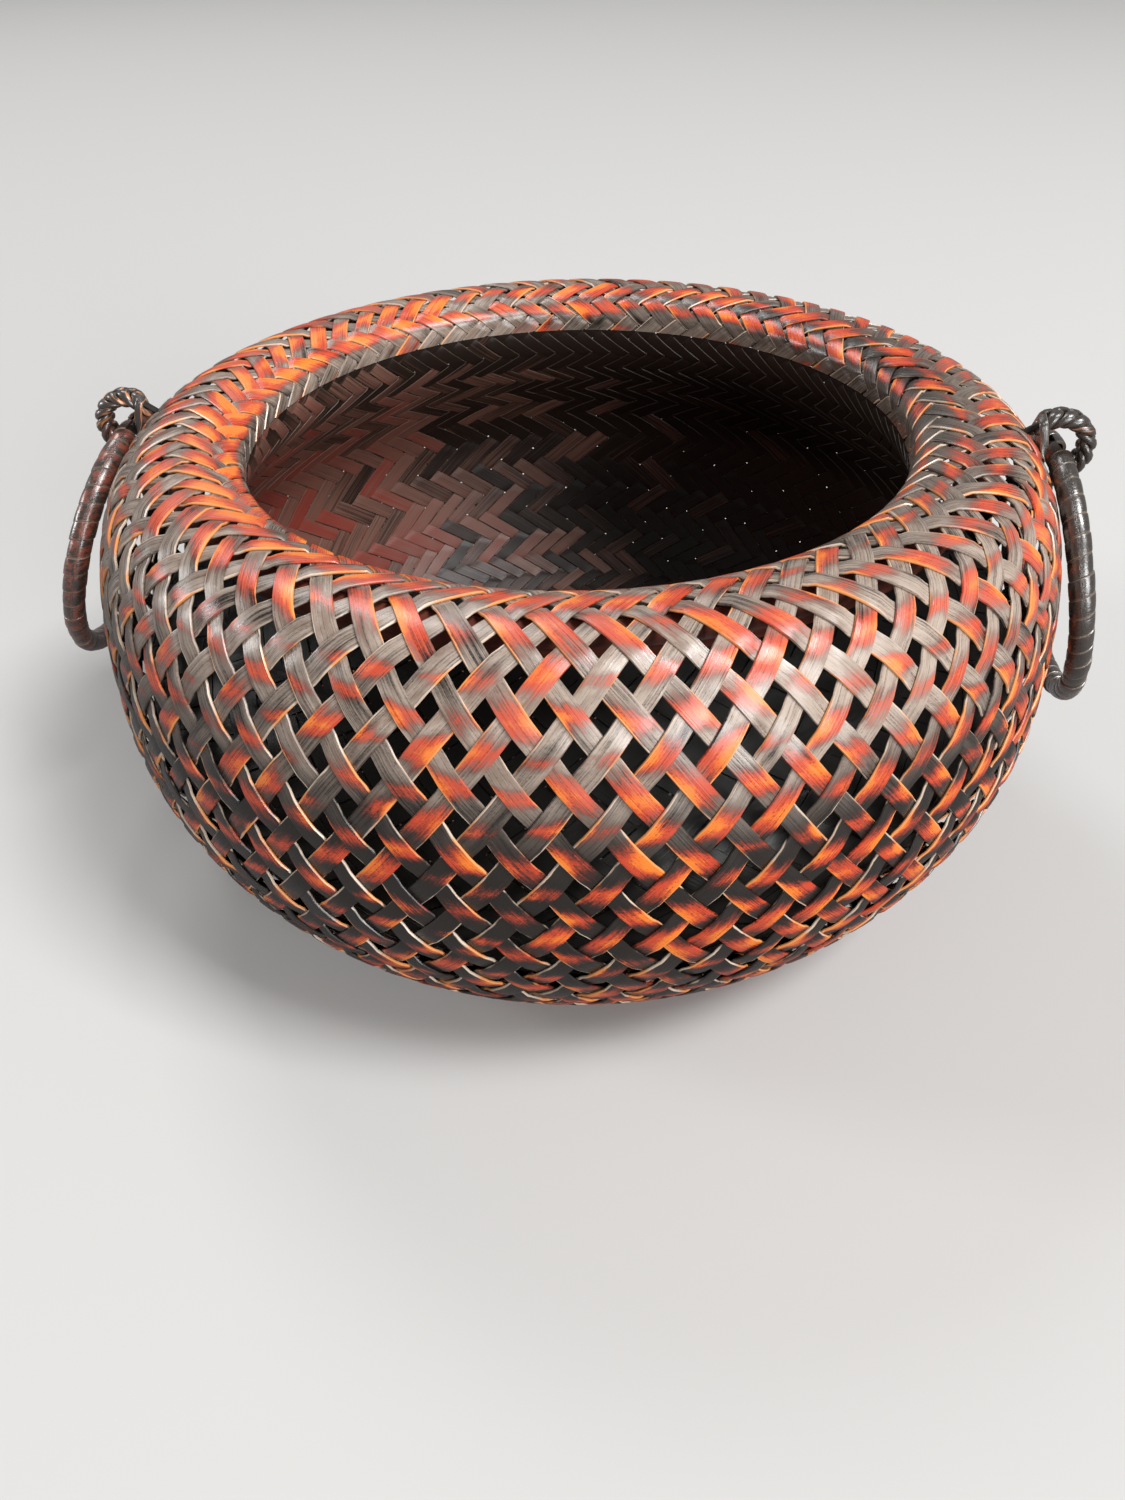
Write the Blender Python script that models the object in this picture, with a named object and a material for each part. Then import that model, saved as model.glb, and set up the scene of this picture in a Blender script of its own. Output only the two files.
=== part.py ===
"""Ikebana basket of plaited bamboo with two ring handles bound in cane.

Lengths are in metres. The basket stands on z = 0 with its axis on Z, and its two lugs lie on +X and -X.
"""
import math

import bmesh
import bpy
import numpy as np
from mathutils import Matrix, Vector

# The outer wall, a turned shape from the neck over the rolled rim to the foot
BELLY_RADIUS = 0.1600
RIM_RADIUS = 0.1261
LIP_WIDTH = 0.0192
FOOT_RADIUS = 0.1123
SHOULDER_RISE = 0.0751
LIP_DROP = 0.0079
BELLY_DROP = 0.0727
SHOULDER_FULLNESS = 2.41
BELLY_FULLNESS = 1.70

# The strips that cross in the outer wall
STRIP_COUNT = 68
STRIP_WIDTH = 0.0060
STRIP_THICKNESS = 0.0009
LAYER_GAP = 0.0006
NECK_BAND = 0.0050
FOOT_BAND = 0.0052
ROW_AT_NECK = -1.35
CLIMB_DEGREES = (42.5, 47.0, 53.0, 54.0, 50.0, 50.0, 49.0)
CLIMB_ARC_SHARES = (0.0, 0.068, 0.126, 0.388, 0.548, 0.728, 1.0)
LIP_LEVEL_SHARE = 0.5
BELLY_LEVEL_SPACING = 0.0480
BELLY_LEVEL_SHARES = (0.0, 0.36, 0.71, 1.0)

# The closely woven basket inside
LINER_THICKNESS = 0.0016
LINER_DEPTH = 0.0090
LINER_FLOOR_INSET = 0.0073
LINER_UPPER_SHARES = (0.0, 0.2, 0.4, 0.6, 0.8)
LINER_LOWER_SHARES = (0.0, 0.28, 0.52, 0.72, 0.86)

# Hoops, plaited base and its slats
RIM_HOOP_TUBE = 0.0050
RIM_HOOP_SIDES = 8
FOOT_HEIGHT = 0.0070
FOOT_HOOP_WIDTH = 0.0090
FOOT_HOOP_OVERHANG = 0.0027
FOOT_HOOP_EDGE = 0.0012
BASE_INSET = 0.0011
BASE_THICKNESS = 0.0012
SLAT_WIDTH = 0.0120
SLAT_THICKNESS = 0.0012
SLAT_SPACING = 0.0640

# Lugs of cane tied through the wall, with their winding
LUG_ROWS = (4.86, 6.86)
LUG_STANDOFF = 0.0056
LUG_CORE_TUBE = 0.0011
LUG_CANE_TUBE = 0.00085
LUG_TURNS = 11
LUG_START_TURN_SHARE = 0.5
LUG_TURN_POINTS = 9
LUG_CORNER = 0.0022
LUG_ARCH_POINTS = 11
LUG_CORNER_POINTS = 3

# Ring handles with their winding; their lean is in degrees past the one at which they lie on the wall
RING_RADIUS = 0.0420
RING_CORE_TUBE = 0.0022
RING_CANE_THICKNESS = 0.0009
RING_CANE_GAP = 0.0007
RING_SEAM = 0.0007
RING_TURNS = 24
RING_TURN_POINTS = 8
RING_CORE_POINTS = 28
RIGHT_RING_LEAN_DEGREES = 0.9
LEFT_RING_LEAN_DEGREES = 8.2
REST_ANGLES = 120
LEAN_STEPS = 240

# Fits and facets
CLEARANCE = 0.0003
LEAST_TURN_GAP = 0.0004
MERGE_DISTANCE = 0.00001
CURVE_STEPS = 300
ROUND_STEPS = 40
SMOOTH_ANGLE = math.radians(40.0)

# Sizes that follow from those above
NECK_RADIUS = RIM_RADIUS - LIP_WIDTH
BASE_RADIUS = FOOT_RADIUS - BASE_INSET
LINER_FLOOR_RADIUS = FOOT_RADIUS - LINER_FLOOR_INSET
FOOT_HOOP_OUTER = FOOT_RADIUS + FOOT_HOOP_OVERHANG
FOOT_HOOP_INNER = FOOT_HOOP_OUTER - FOOT_HOOP_WIDTH
BELLY_HEIGHT = FOOT_HEIGHT + CLEARANCE + BELLY_DROP
RIM_HEIGHT = BELLY_HEIGHT + SHOULDER_RISE
WALL_THICKNESS = 2 * STRIP_THICKNESS + LAYER_GAP
LUG_TUBE = LUG_CORE_TUBE + CLEARANCE + 2 * LUG_CANE_TUBE
RING_TUBE = RING_CORE_TUBE + RING_CANE_GAP + RING_CANE_THICKNESS

# Colour, roughness and metallic value of each material
LACQUER = ((0.055, 0.030, 0.022), 0.38, 0.0)
LACQUER_RED = ((0.095, 0.040, 0.024), 0.36, 0.0)
LINER_BROWN = ((0.034, 0.018, 0.014), 0.55, 0.0)
CANE_DARK = ((0.022, 0.012, 0.010), 0.30, 0.0)
CANE_CORE = ((0.016, 0.009, 0.007), 0.45, 0.0)
BASE_BROWN = ((0.050, 0.028, 0.018), 0.60, 0.0)


def clear_objects():
    """Empty the scene before the basket is built."""
    for thing in list(bpy.data.objects):
        bpy.data.objects.remove(thing, do_unlink=True)


def lacquer(name, look):
    """Make one opaque material from a colour, a roughness and a metallic value."""
    colour, roughness, metallic = look
    material = bpy.data.materials.new(name)
    material.use_nodes = True
    surface = material.node_tree.nodes["Principled BSDF"]
    surface.inputs["Base Color"].default_value = (*colour, 1.0)
    surface.inputs["Roughness"].default_value = roughness
    surface.inputs["Metallic"].default_value = metallic
    material.diffuse_color = (*colour, 1.0)
    return material


def add_object(name, data, look):
    """Link new data to the scene under a node's name, with its own material."""
    thing = bpy.data.objects.new(name, data)
    bpy.context.scene.collection.objects.link(thing)
    data.materials.append(lacquer(name, look))
    return thing


def finish_mesh(bm, name, look):
    """Turn a bmesh into a smooth-shaded object with its faces pointing out."""
    bmesh.ops.recalc_face_normals(bm, faces=bm.faces[:])
    mesh = bpy.data.meshes.new(name)
    bm.to_mesh(mesh)
    bm.free()
    mesh.shade_smooth()
    mesh.set_sharp_from_angle(angle=SMOOTH_ANGLE)
    return add_object(name, mesh, look)


def wall_points():
    """Outer face in its radial plane, as radius and height, from the neck over the rim to the foot."""
    turn = np.linspace(0.0, math.pi / 2, CURVE_STEPS)
    lip = np.stack([RIM_RADIUS - (RIM_RADIUS - NECK_RADIUS) * np.cos(turn),
                    RIM_HEIGHT - LIP_DROP * (1 - np.sin(turn))], axis=1)
    power = 2 / SHOULDER_FULLNESS
    shoulder = np.stack([RIM_RADIUS + (BELLY_RADIUS - RIM_RADIUS) * np.sin(turn) ** power,
                         BELLY_HEIGHT + SHOULDER_RISE * np.cos(turn) ** power], axis=1)
    power = 2 / BELLY_FULLNESS
    belly = np.stack([FOOT_RADIUS + (BELLY_RADIUS - FOOT_RADIUS) * np.cos(turn) ** power,
                      BELLY_HEIGHT - BELLY_DROP * np.sin(turn) ** power], axis=1)
    return np.vstack([lip, shoulder[1:], belly[1:]])


def running_length(points):
    """Length along a line of points up to each of them."""
    steps = np.hypot(*np.diff(points, axis=0).T)
    return np.concatenate([[0.0], np.cumsum(steps)])


WALL = wall_points()
ARC = running_length(WALL)
WALL_LENGTH = float(ARC[-1])
RIDGE_ARC = float(ARC[CURVE_STEPS - 1])
BELLY_ARC = float(ARC[2 * CURVE_STEPS - 2])


def row_count():
    """Number of the row of crossings reached at each wall point, from the strips' climb."""
    climb = np.radians(np.interp(ARC / WALL_LENGTH, CLIMB_ARC_SHARES, CLIMB_DEGREES))
    rate = STRIP_COUNT / (math.pi * WALL[:, 0] * np.tan(climb))
    steps = (rate[1:] + rate[:-1]) / 2 * np.diff(ARC)
    return ROW_AT_NECK + np.concatenate([[0.0], np.cumsum(steps)])


ROWS = row_count()


def arc_of_row(row):
    """Length along the wall down to a row of crossings."""
    return float(np.interp(row, ROWS, ARC))


def wall_at(arc, depth=0.0):
    """Radius and height at a length along the wall, that depth behind its outer face."""
    tangent = np.gradient(WALL, ARC, axis=0)
    across = np.array([np.interp(arc, ARC, tangent[:, 0]), np.interp(arc, ARC, tangent[:, 1])])
    across = across / np.hypot(*across)
    place = np.array([np.interp(arc, ARC, WALL[:, 0]), np.interp(arc, ARC, WALL[:, 1])])
    return place - depth * np.array([-across[1], across[0]])


def strip_levels():
    """Lengths along the wall where each strip has a section, from the neck to the foot band."""
    upper, lower = (arc_of_row(row) for row in LUG_ROWS)
    end = WALL_LENGTH - FOOT_BAND
    spans = max(len(BELLY_LEVEL_SHARES) - 1, math.ceil((end - lower) / BELLY_LEVEL_SPACING))
    even = np.linspace(0.0, 1.0, len(BELLY_LEVEL_SHARES))
    shares = np.interp(np.linspace(0.0, 1.0, spans + 1), even, BELLY_LEVEL_SHARES)
    return [0.0, LIP_LEVEL_SHARE * RIDGE_ARC, RIDGE_ARC, upper, *(lower + shares * (end - lower)).tolist()]


def half_width_angle(arc, radius):
    """Half of a strip's level width, as an angle about the basket's axis."""
    climb = math.radians(np.interp(arc / WALL_LENGTH, CLIMB_ARC_SHARES, CLIMB_DEGREES))
    return STRIP_WIDTH / (2 * radius * math.sin(climb))


def strip_rings(lean, depth):
    """Sections of one family: radius and height of both faces, middle angle, half-width angle."""
    half_pitch = math.pi / STRIP_COUNT
    levels = strip_levels()
    rings = []
    for number, arc in enumerate(levels):
        outer = wall_at(arc, depth)
        inner = wall_at(arc, depth + STRIP_THICKNESS)
        middle = lean * float(np.interp(arc, ARC, ROWS)) * half_pitch
        at_band = number in (0, len(levels) - 1)
        half = half_pitch if at_band else half_width_angle(arc, outer[0])
        rings.append((outer, inner, middle, half, at_band))
    neck_outer = wall_at(0.0, depth) - np.array([0.0, NECK_BAND])
    neck_inner = wall_at(0.0, depth + STRIP_THICKNESS) - np.array([0.0, NECK_BAND])
    rings.insert(0, (neck_outer, neck_inner, rings[0][2], half_pitch, True))
    foot_outer = wall_at(WALL_LENGTH, depth)
    foot_inner = wall_at(WALL_LENGTH, depth + STRIP_THICKNESS)
    rings.append((foot_outer, foot_inner, rings[-1][2], half_pitch, True))
    return rings


def turned(place, angle):
    """Point in space of a radius and height at an angle about the axis."""
    return Vector((place[0] * math.cos(angle), place[0] * math.sin(angle), place[1]))


def section_corners(bm, ring):
    """Four corners of every strip at one level; at a band neighbours share theirs."""
    outer, inner, middle, half, at_band = ring
    pitch = 2 * math.pi / STRIP_COUNT
    corners = []
    for strip in range(STRIP_COUNT):
        centre = middle + strip * pitch
        left = [bm.verts.new(turned(place, centre - half)) for place in (outer, inner)]
        corners.append([left, None])
        if not at_band:
            corners[-1][1] = [bm.verts.new(turned(place, centre + half)) for place in (outer, inner)]
    if at_band:
        for strip in range(STRIP_COUNT):
            corners[strip][1] = corners[(strip + 1) % STRIP_COUNT][0]
    return corners


def split_face(bm, first, second, third, fourth, flip):
    """Two triangles over four corners, cut along the diagonal that follows the lean."""
    if flip:
        bm.faces.new((first, second, fourth))
        bm.faces.new((second, third, fourth))
    else:
        bm.faces.new((first, second, third))
        bm.faces.new((first, third, fourth))


def make_strip_family(name, lean, depth, look):
    """All strips that lean one way, joined by a band in the neck and one on the foot hoop."""
    bm = bmesh.new()
    rings = strip_rings(lean, depth)
    levels = [section_corners(bm, ring) for ring in rings]
    flip = lean > 0
    for number in range(len(rings) - 1):
        upper, lower = levels[number], levels[number + 1]
        in_band = rings[number][4] and rings[number + 1][4]
        for strip in range(STRIP_COUNT):
            left, right = upper[strip]
            next_left, next_right = lower[strip]
            split_face(bm, left[0], right[0], next_right[0], next_left[0], flip)
            split_face(bm, left[1], right[1], next_right[1], next_left[1], flip)
            if not in_band:
                split_face(bm, left[0], left[1], next_left[1], next_left[0], False)
                split_face(bm, right[0], right[1], next_right[1], next_right[0], False)
    for corners in (levels[0], levels[-1]):
        for left, right in corners:
            split_face(bm, left[0], left[1], right[1], right[0], False)
    return finish_mesh(bm, name, look)


def turn_profile(name, outline, closed, look):
    """Turn an outline about the axis; it runs down its outer side, top to bottom."""
    bm = bmesh.new()
    verts = [bm.verts.new((radius, 0.0, height)) for radius, height in outline]
    pairs = list(zip(verts, verts[1:]))
    if closed:
        pairs.append((verts[-1], verts[0]))
    for pair in pairs:
        bm.edges.new(pair)
    mesh = bpy.data.meshes.new(name)
    bm.to_mesh(mesh)
    bm.free()
    thing = add_object(name, mesh, look)
    screw = thing.modifiers.new("Turn", "SCREW")
    screw.axis = "Z"
    screw.steps = ROUND_STEPS
    screw.render_steps = ROUND_STEPS
    screw.use_merge_vertices = True
    screw.merge_threshold = MERGE_DISTANCE
    screw.use_smooth_shade = True
    return thing


def liner_side(inset):
    """Outer side of the inner basket moved inwards by an inset, from its top edge to its floor."""
    top = RIM_HEIGHT - LIP_DROP - NECK_BAND - CLEARANCE
    neck = NECK_RADIUS + LINER_THICKNESS
    belly = BELLY_RADIUS - LINER_DEPTH
    side = []
    for share in LINER_UPPER_SHARES:
        swell = share * share * (3 - 2 * share)
        side.append((neck + (belly - neck) * swell - inset, top - share * (top - BELLY_HEIGHT)))
    for share in LINER_LOWER_SHARES:
        arc = BELLY_ARC + share * (WALL_LENGTH - BELLY_ARC)
        side.append(tuple(wall_at(arc, LINER_DEPTH + inset)))
    return side


def make_inner_basket():
    """Closely woven inner basket that hangs from the neck bands and stands on the plaited base."""
    floor = FOOT_HEIGHT + BASE_THICKNESS + 2 * CLEARANCE
    inside = liner_side(LINER_THICKNESS)
    outside = liner_side(0.0)
    outline = [(0.0, floor + LINER_THICKNESS), (LINER_FLOOR_RADIUS, floor + LINER_THICKNESS)]
    outline += inside[::-1] + outside
    outline += [(LINER_FLOOR_RADIUS, floor), (0.0, floor)]
    return turn_profile("inner_basket", outline, False, LINER_BROWN)


def strip_sag(first, second):
    """How far a strip's straight run between two levels dips inside the wall's round, from its advance."""
    rows = float(np.interp(second, ARC, ROWS) - np.interp(first, ARC, ROWS))
    radius = wall_at((first + second) / 2)[0]
    return radius * (1 - math.cos(rows * math.pi / STRIP_COUNT / 2))


def rim_hoop_middle():
    """Middle of the rim hoop's section, clear of the strips' straight runs on both sides of the ridge."""
    ridge = wall_at(RIDGE_ARC)
    normals, reaches = [], []
    for level, way in ((LIP_LEVEL_SHARE * RIDGE_ARC, -1), (arc_of_row(LUG_ROWS[0]), 1)):
        run = way * (wall_at(level) - ridge)
        run = run / np.hypot(*run)
        normals.append((run[1], -run[0]))
        sag = strip_sag(RIDGE_ARC, level)
        reaches.append(WALL_THICKNESS + CLEARANCE + RIM_HOOP_TUBE + sag)
    return ridge + np.linalg.solve(np.array(normals), np.array(reaches))


def make_rim_hoop():
    """Round hoop under the ridge of the rim, over which both families of strips fold."""
    radius, height = rim_hoop_middle()
    outline = []
    for side in range(RIM_HOOP_SIDES):
        angle = -2 * math.pi * side / RIM_HOOP_SIDES
        outline.append((radius + RIM_HOOP_TUBE * math.cos(angle), height + RIM_HOOP_TUBE * math.sin(angle)))
    return turn_profile("rim_hoop", outline, True, CANE_CORE)


def make_foot_hoop():
    """Flat hoop that the basket stands on, with its outer edges eased."""
    edge = FOOT_HOOP_EDGE
    outline = [(FOOT_HOOP_INNER, FOOT_HEIGHT), (FOOT_HOOP_OUTER - edge, FOOT_HEIGHT),
               (FOOT_HOOP_OUTER, FOOT_HEIGHT - edge), (FOOT_HOOP_OUTER, edge),
               (FOOT_HOOP_OUTER - edge, 0.0), (FOOT_HOOP_INNER, 0.0)]
    return turn_profile("foot_hoop", outline, True, CANE_DARK)


def make_base():
    """Plaited disc inside the foot bands, standing on the foot hoop."""
    low = FOOT_HEIGHT + CLEARANCE
    outline = [(0.0, low + BASE_THICKNESS), (BASE_RADIUS, low + BASE_THICKNESS), (BASE_RADIUS, low), (0.0, low)]
    return turn_profile("base_plait", outline, False, BASE_BROWN)


def make_slat(name, offset, layer, turn):
    """One slat under the base, cut to reach the inside of the foot hoop."""
    reach = FOOT_HOOP_INNER * math.cos(math.pi / ROUND_STEPS) - CLEARANCE
    half_length = math.sqrt(reach ** 2 - (abs(offset) + SLAT_WIDTH / 2) ** 2)
    top = FOOT_HEIGHT - layer * (SLAT_THICKNESS + CLEARANCE)
    bm = bmesh.new()
    bmesh.ops.create_cube(bm, size=1.0)
    bmesh.ops.scale(bm, vec=Vector((2 * half_length, SLAT_WIDTH, SLAT_THICKNESS)), verts=bm.verts[:])
    slat = finish_mesh(bm, name, BASE_BROWN)
    slat.rotation_euler = (0.0, 0.0, turn)
    slat.location = Matrix.Rotation(turn, 3, "Z") @ Vector((0.0, offset, top - SLAT_THICKNESS / 2))
    return slat


def make_slats():
    """Two slats each way, the pair along Y under the pair along X."""
    for number, side in enumerate((-1, 1), start=1):
        offset = side * SLAT_SPACING / 2
        make_slat(f"base_slat_x_{number}", offset, 0, 0.0)
        make_slat(f"base_slat_y_{number}", offset, 1, math.pi / 2)


def lug_frame():
    """Middle of the lug's two holes in the wall, its outward and downward directions, half its span."""
    upper, lower = (wall_at(arc_of_row(row)) for row in LUG_ROWS)
    down = (lower - upper) / np.hypot(*(lower - upper))
    outward = np.array([-down[1], down[0]])
    return (upper + lower) / 2, outward, down, float(np.hypot(*(lower - upper))) / 2


LUG_MIDDLE, LUG_OUTWARD, LUG_DOWN, LUG_HALF_SPAN = lug_frame()


def lug_place(out, along, side=0.0):
    """Point of a lug from its distance off the wall, its distance down the wall and sideways."""
    place = LUG_MIDDLE + out * LUG_OUTWARD + along * LUG_DOWN
    return Vector((place[0], side, place[1]))


def lug_core_points():
    """Closed line of a lug: an arch outside, two legs through the wall and a run behind it."""
    points = []
    for number in range(LUG_ARCH_POINTS):
        angle = math.pi * (number / (LUG_ARCH_POINTS - 1) - 1 / 2)
        points.append((LUG_STANDOFF + LUG_HALF_SPAN * math.cos(angle), LUG_HALF_SPAN * math.sin(angle)))
    back = -(WALL_THICKNESS + CLEARANCE + LUG_CORE_TUBE + STRIP_THICKNESS / 2)
    for end in (1, -1):
        for number in range(LUG_CORNER_POINTS):
            share = number / (LUG_CORNER_POINTS - 1)
            turn = math.pi / 2 * (share if end > 0 else 1 - share)
            out = back + LUG_CORNER - LUG_CORNER * math.sin(turn)
            points.append((out, end * (LUG_HALF_SPAN - LUG_CORNER + LUG_CORNER * math.cos(turn))))
    return [lug_place(*point) for point in points]


def tube(name, points, radius, cyclic, look):
    """Six-sided round tube along a line of points, as a bevelled curve with filled ends."""
    data = bpy.data.curves.new(name, "CURVE")
    data.dimensions = "3D"
    data.bevel_depth = radius
    data.bevel_resolution = 1
    data.use_fill_caps = not cyclic
    spline = data.splines.new("POLY")
    spline.points.add(len(points) - 1)
    for point, place in zip(spline.points, points):
        point.co = (*place, 1.0)
    spline.use_cyclic_u = cyclic
    spline.use_smooth = True
    return add_object(name, data, look)


def lug_line(length):
    """Place and direction on a lug's outer line, at a length from the wall at its upper leg."""
    legs = LUG_STANDOFF
    arch = math.pi * LUG_HALF_SPAN
    if length < legs:
        return np.array([length, -LUG_HALF_SPAN]), np.array([1.0, 0.0])
    if length > legs + arch:
        return np.array([2 * legs + arch - length, LUG_HALF_SPAN]), np.array([-1.0, 0.0])
    angle = (length - legs) / LUG_HALF_SPAN - math.pi / 2
    place = np.array([LUG_STANDOFF + LUG_HALF_SPAN * math.cos(angle), LUG_HALF_SPAN * math.sin(angle)])
    return place, np.array([-math.sin(angle), math.cos(angle)])


def lug_winding_points():
    """Cane wound round a lug's arch, with ends that run straight to the wall for one diameter."""
    whole = 2 * LUG_STANDOFF + math.pi * LUG_HALF_SPAN
    start = CLEARANCE
    straight = 2 * LUG_CANE_TUBE
    wound = whole - 2 * start - 2 * straight
    reach = LUG_CORE_TUBE + CLEARANCE + LUG_CANE_TUBE
    first = 2 * math.pi * LUG_START_TURN_SHARE
    stations = [(start, first)]
    count = LUG_TURNS * LUG_TURN_POINTS
    for number in range(count + 1):
        share = number / count
        stations.append((start + straight + share * wound, first + 2 * math.pi * LUG_TURNS * share))
    stations.append((whole - start, first + 2 * math.pi * LUG_TURNS))
    points = []
    for length, phase in stations:
        place, direction = lug_line(length)
        sideways = np.array([direction[1], -direction[0]])
        out, along = place + reach * math.cos(phase) * sideways
        points.append(lug_place(float(out), float(along), reach * math.sin(phase)))
    return points


def least_gap(points, turn_points, thickness):
    """Least distance between turns of a wound tube, less its thickness."""
    places = np.array([tuple(point) for point in points])
    middles = np.vstack([places, (places[1:] + places[:-1]) / 2])
    order = np.concatenate([np.arange(len(places)), np.arange(len(places) - 1) + 1 / 2])
    apart = np.linalg.norm(middles[:, None] - middles[None, :], axis=2)
    apart[np.abs(order[:, None] - order[None, :]) < turn_points * 2 / 3] = np.inf
    return float(apart.min()) - thickness


def report_gap(name, gap):
    """Print a winding's least gap to itself, and whether it is wide enough."""
    state = "wide enough" if gap > LEAST_TURN_GAP else "too narrow"
    print(f"{name}: least gap between turns {gap * 1000:.2f} mm, {state}")


def make_lug(side, turn):
    """One lug of cane through the wall and the cane wound round its arch."""
    core = tube(f"{side}_lug_core", lug_core_points(), LUG_CORE_TUBE, True, CANE_CORE)
    points = lug_winding_points()
    winding = tube(f"{side}_lug_winding", points, LUG_CANE_TUBE, False, CANE_DARK)
    report_gap(winding.name, least_gap(points, LUG_TURN_POINTS, 2 * LUG_CANE_TUBE))
    for piece in (core, winding):
        piece.rotation_euler = (0.0, 0.0, turn)


def wall_bulge():
    """How far the wall swells past the straight line between a lug's two holes."""
    upper, lower = (arc_of_row(row) for row in LUG_ROWS)
    between = WALL[(ARC > upper) & (ARC < lower)]
    return float(((between - LUG_MIDDLE) @ LUG_OUTWARD).max())


def ring_pivot():
    """Middle of the ring's tube where it hangs in the lug, against the wall and the lug's lower leg."""
    out = wall_bulge() + RING_TUBE + CLEARANCE
    along = LUG_HALF_SPAN - LUG_TUBE - RING_TUBE - CLEARANCE
    return lug_place(out, along)


def wall_distance(points):
    """Distance of points in the radial plane from the wall's outer face, negative inside it."""
    apart = points[:, None, :] - WALL[None, :, :]
    nearest = np.argmin(np.hypot(apart[..., 0], apart[..., 1]), axis=1)
    tangent = np.gradient(WALL, ARC, axis=0)[nearest]
    outward = np.stack([-tangent[:, 1], tangent[:, 0]], axis=1)
    outward /= np.hypot(*outward.T)[:, None]
    return ((points - WALL[nearest]) * outward).sum(axis=1)


def resting_lean():
    """Lean in degrees at which a ring lies against the wall, the clearance away from it."""
    pivot = ring_pivot()
    angles = np.linspace(math.pi / 4, math.pi, REST_ANGLES)
    drop = RING_RADIUS * (np.cos(angles) - 1)
    gaps = []
    leans = np.linspace(-math.pi / 4, math.pi / 2, LEAN_STEPS)
    for lean in leans:
        out = pivot.x - drop * math.sin(lean)
        radius = np.hypot(out, RING_RADIUS * np.sin(angles))
        points = np.stack([radius, pivot.z + drop * math.cos(lean)], axis=1)
        gaps.append(wall_distance(points).min() - RING_TUBE - CLEARANCE)
    gaps = np.array(gaps)
    last = int(np.nonzero(gaps < 0)[0].max()) if (gaps < 0).any() else 0
    return math.degrees(float(np.interp(0.0, gaps[last:last + 2], leans[last:last + 2])))


def ring_core_points():
    """Closed line of a ring that hangs from the origin in the YZ plane."""
    points = []
    for number in range(RING_CORE_POINTS):
        angle = 2 * math.pi * number / RING_CORE_POINTS
        points.append(Vector((0.0, RING_RADIUS * math.sin(angle), RING_RADIUS * (math.cos(angle) - 1))))
    return points


def ring_point(angle, phase, reach):
    """Point beside a ring's line: angle round the ring, phase round its tube, distance from the line."""
    radius = RING_RADIUS + reach * math.cos(phase)
    return Vector((reach * math.sin(phase), radius * math.sin(angle), radius * math.cos(angle) - RING_RADIUS))


def ring_winding_corners():
    """Corners of the flat cane wound round a ring, four at each station."""
    count = RING_TURNS * RING_TURN_POINTS
    pitch = 2 * math.pi / RING_TURNS
    half = pitch / 2 - RING_SEAM / (2 * RING_RADIUS)
    inner = RING_CORE_TUBE + RING_CANE_GAP
    outer = inner + RING_CANE_THICKNESS
    wound = 2 * math.pi * RING_TURNS - RING_SEAM / inner
    stations = []
    for number in range(count + 1):
        phase = wound * number / count
        angle = phase / RING_TURNS
        stations.append([ring_point(angle + edge * half, phase, reach)
                         for edge, reach in ((-1, inner), (1, inner), (1, outer), (-1, outer))])
    return stations


def flat_gap(stations, turn_points):
    """Least distance between the edges of neighbouring turns of a flat winding, or between its ends."""
    rear = np.array([[tuple(corners[0]), tuple(corners[3])] for corners in stations])
    front = np.array([[tuple(corners[1]), tuple(corners[2])] for corners in stations])
    ahead = rear[turn_points:]
    behind = front[:-turn_points]
    ends = np.array(stations[0]) - np.array(stations[-1])
    between = np.linalg.norm(ahead - behind, axis=2).min()
    return float(min(between, np.linalg.norm(ends, axis=1).min()))


def flat_band(name, stations, look):
    """Solid band with four corners at each station and both ends closed."""
    bm = bmesh.new()
    loops = [[bm.verts.new(corner) for corner in corners] for corners in stations]
    for first, second in zip(loops, loops[1:]):
        for number in range(4):
            after = (number + 1) % 4
            bm.faces.new((first[number], first[after], second[after], second[number]))
    bm.faces.new(loops[0])
    bm.faces.new(loops[-1][::-1])
    return finish_mesh(bm, name, look)


def make_ring(side, turn, lean):
    """One ring handle with its winding, under an empty on the joint's axis."""
    pivot = bpy.data.objects.new(f"{side}_ring_pivot", None)
    bpy.context.scene.collection.objects.link(pivot)
    around = Matrix.Rotation(turn, 4, "Z")
    pivot.matrix_world = around @ Matrix.Translation(ring_pivot()) @ Matrix.Rotation(-math.radians(lean), 4, "Y")
    core = tube(f"{side}_ring_core", ring_core_points(), RING_CORE_TUBE, True, CANE_CORE)
    stations = ring_winding_corners()
    winding = flat_band(f"{side}_ring_winding", stations, CANE_DARK)
    report_gap(winding.name, flat_gap(stations, RING_TURN_POINTS))
    core.parent = pivot
    winding.parent = pivot


def main():
    """Build the basket, its hoops and base, the two lugs and the two rings."""
    clear_objects()
    make_strip_family("right_leaning_strips", 1, 0.0, LACQUER_RED)
    make_strip_family("left_leaning_strips", -1, STRIP_THICKNESS + LAYER_GAP, LACQUER)
    make_inner_basket()
    make_rim_hoop()
    make_foot_hoop()
    make_base()
    make_slats()
    make_lug("right", 0.0)
    make_lug("left", math.pi)
    lean = resting_lean()
    make_ring("right", 0.0, lean + RIGHT_RING_LEAN_DEGREES)
    make_ring("left", math.pi, lean + LEFT_RING_LEAN_DEGREES)
    print("ring pivot", [round(value, 5) for value in ring_pivot()], "resting lean", round(lean, 3))


main()
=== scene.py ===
"""Ikebana basket: plaited walls, wound lugs and rings, and a plain studio stage."""
import math

import bmesh
import bpy
import numpy as np
from bpy.props import FloatProperty, FloatVectorProperty, IntProperty, PointerProperty
from bpy.types import Operator, Panel, PropertyGroup
from mathutils import Matrix, Vector


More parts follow.
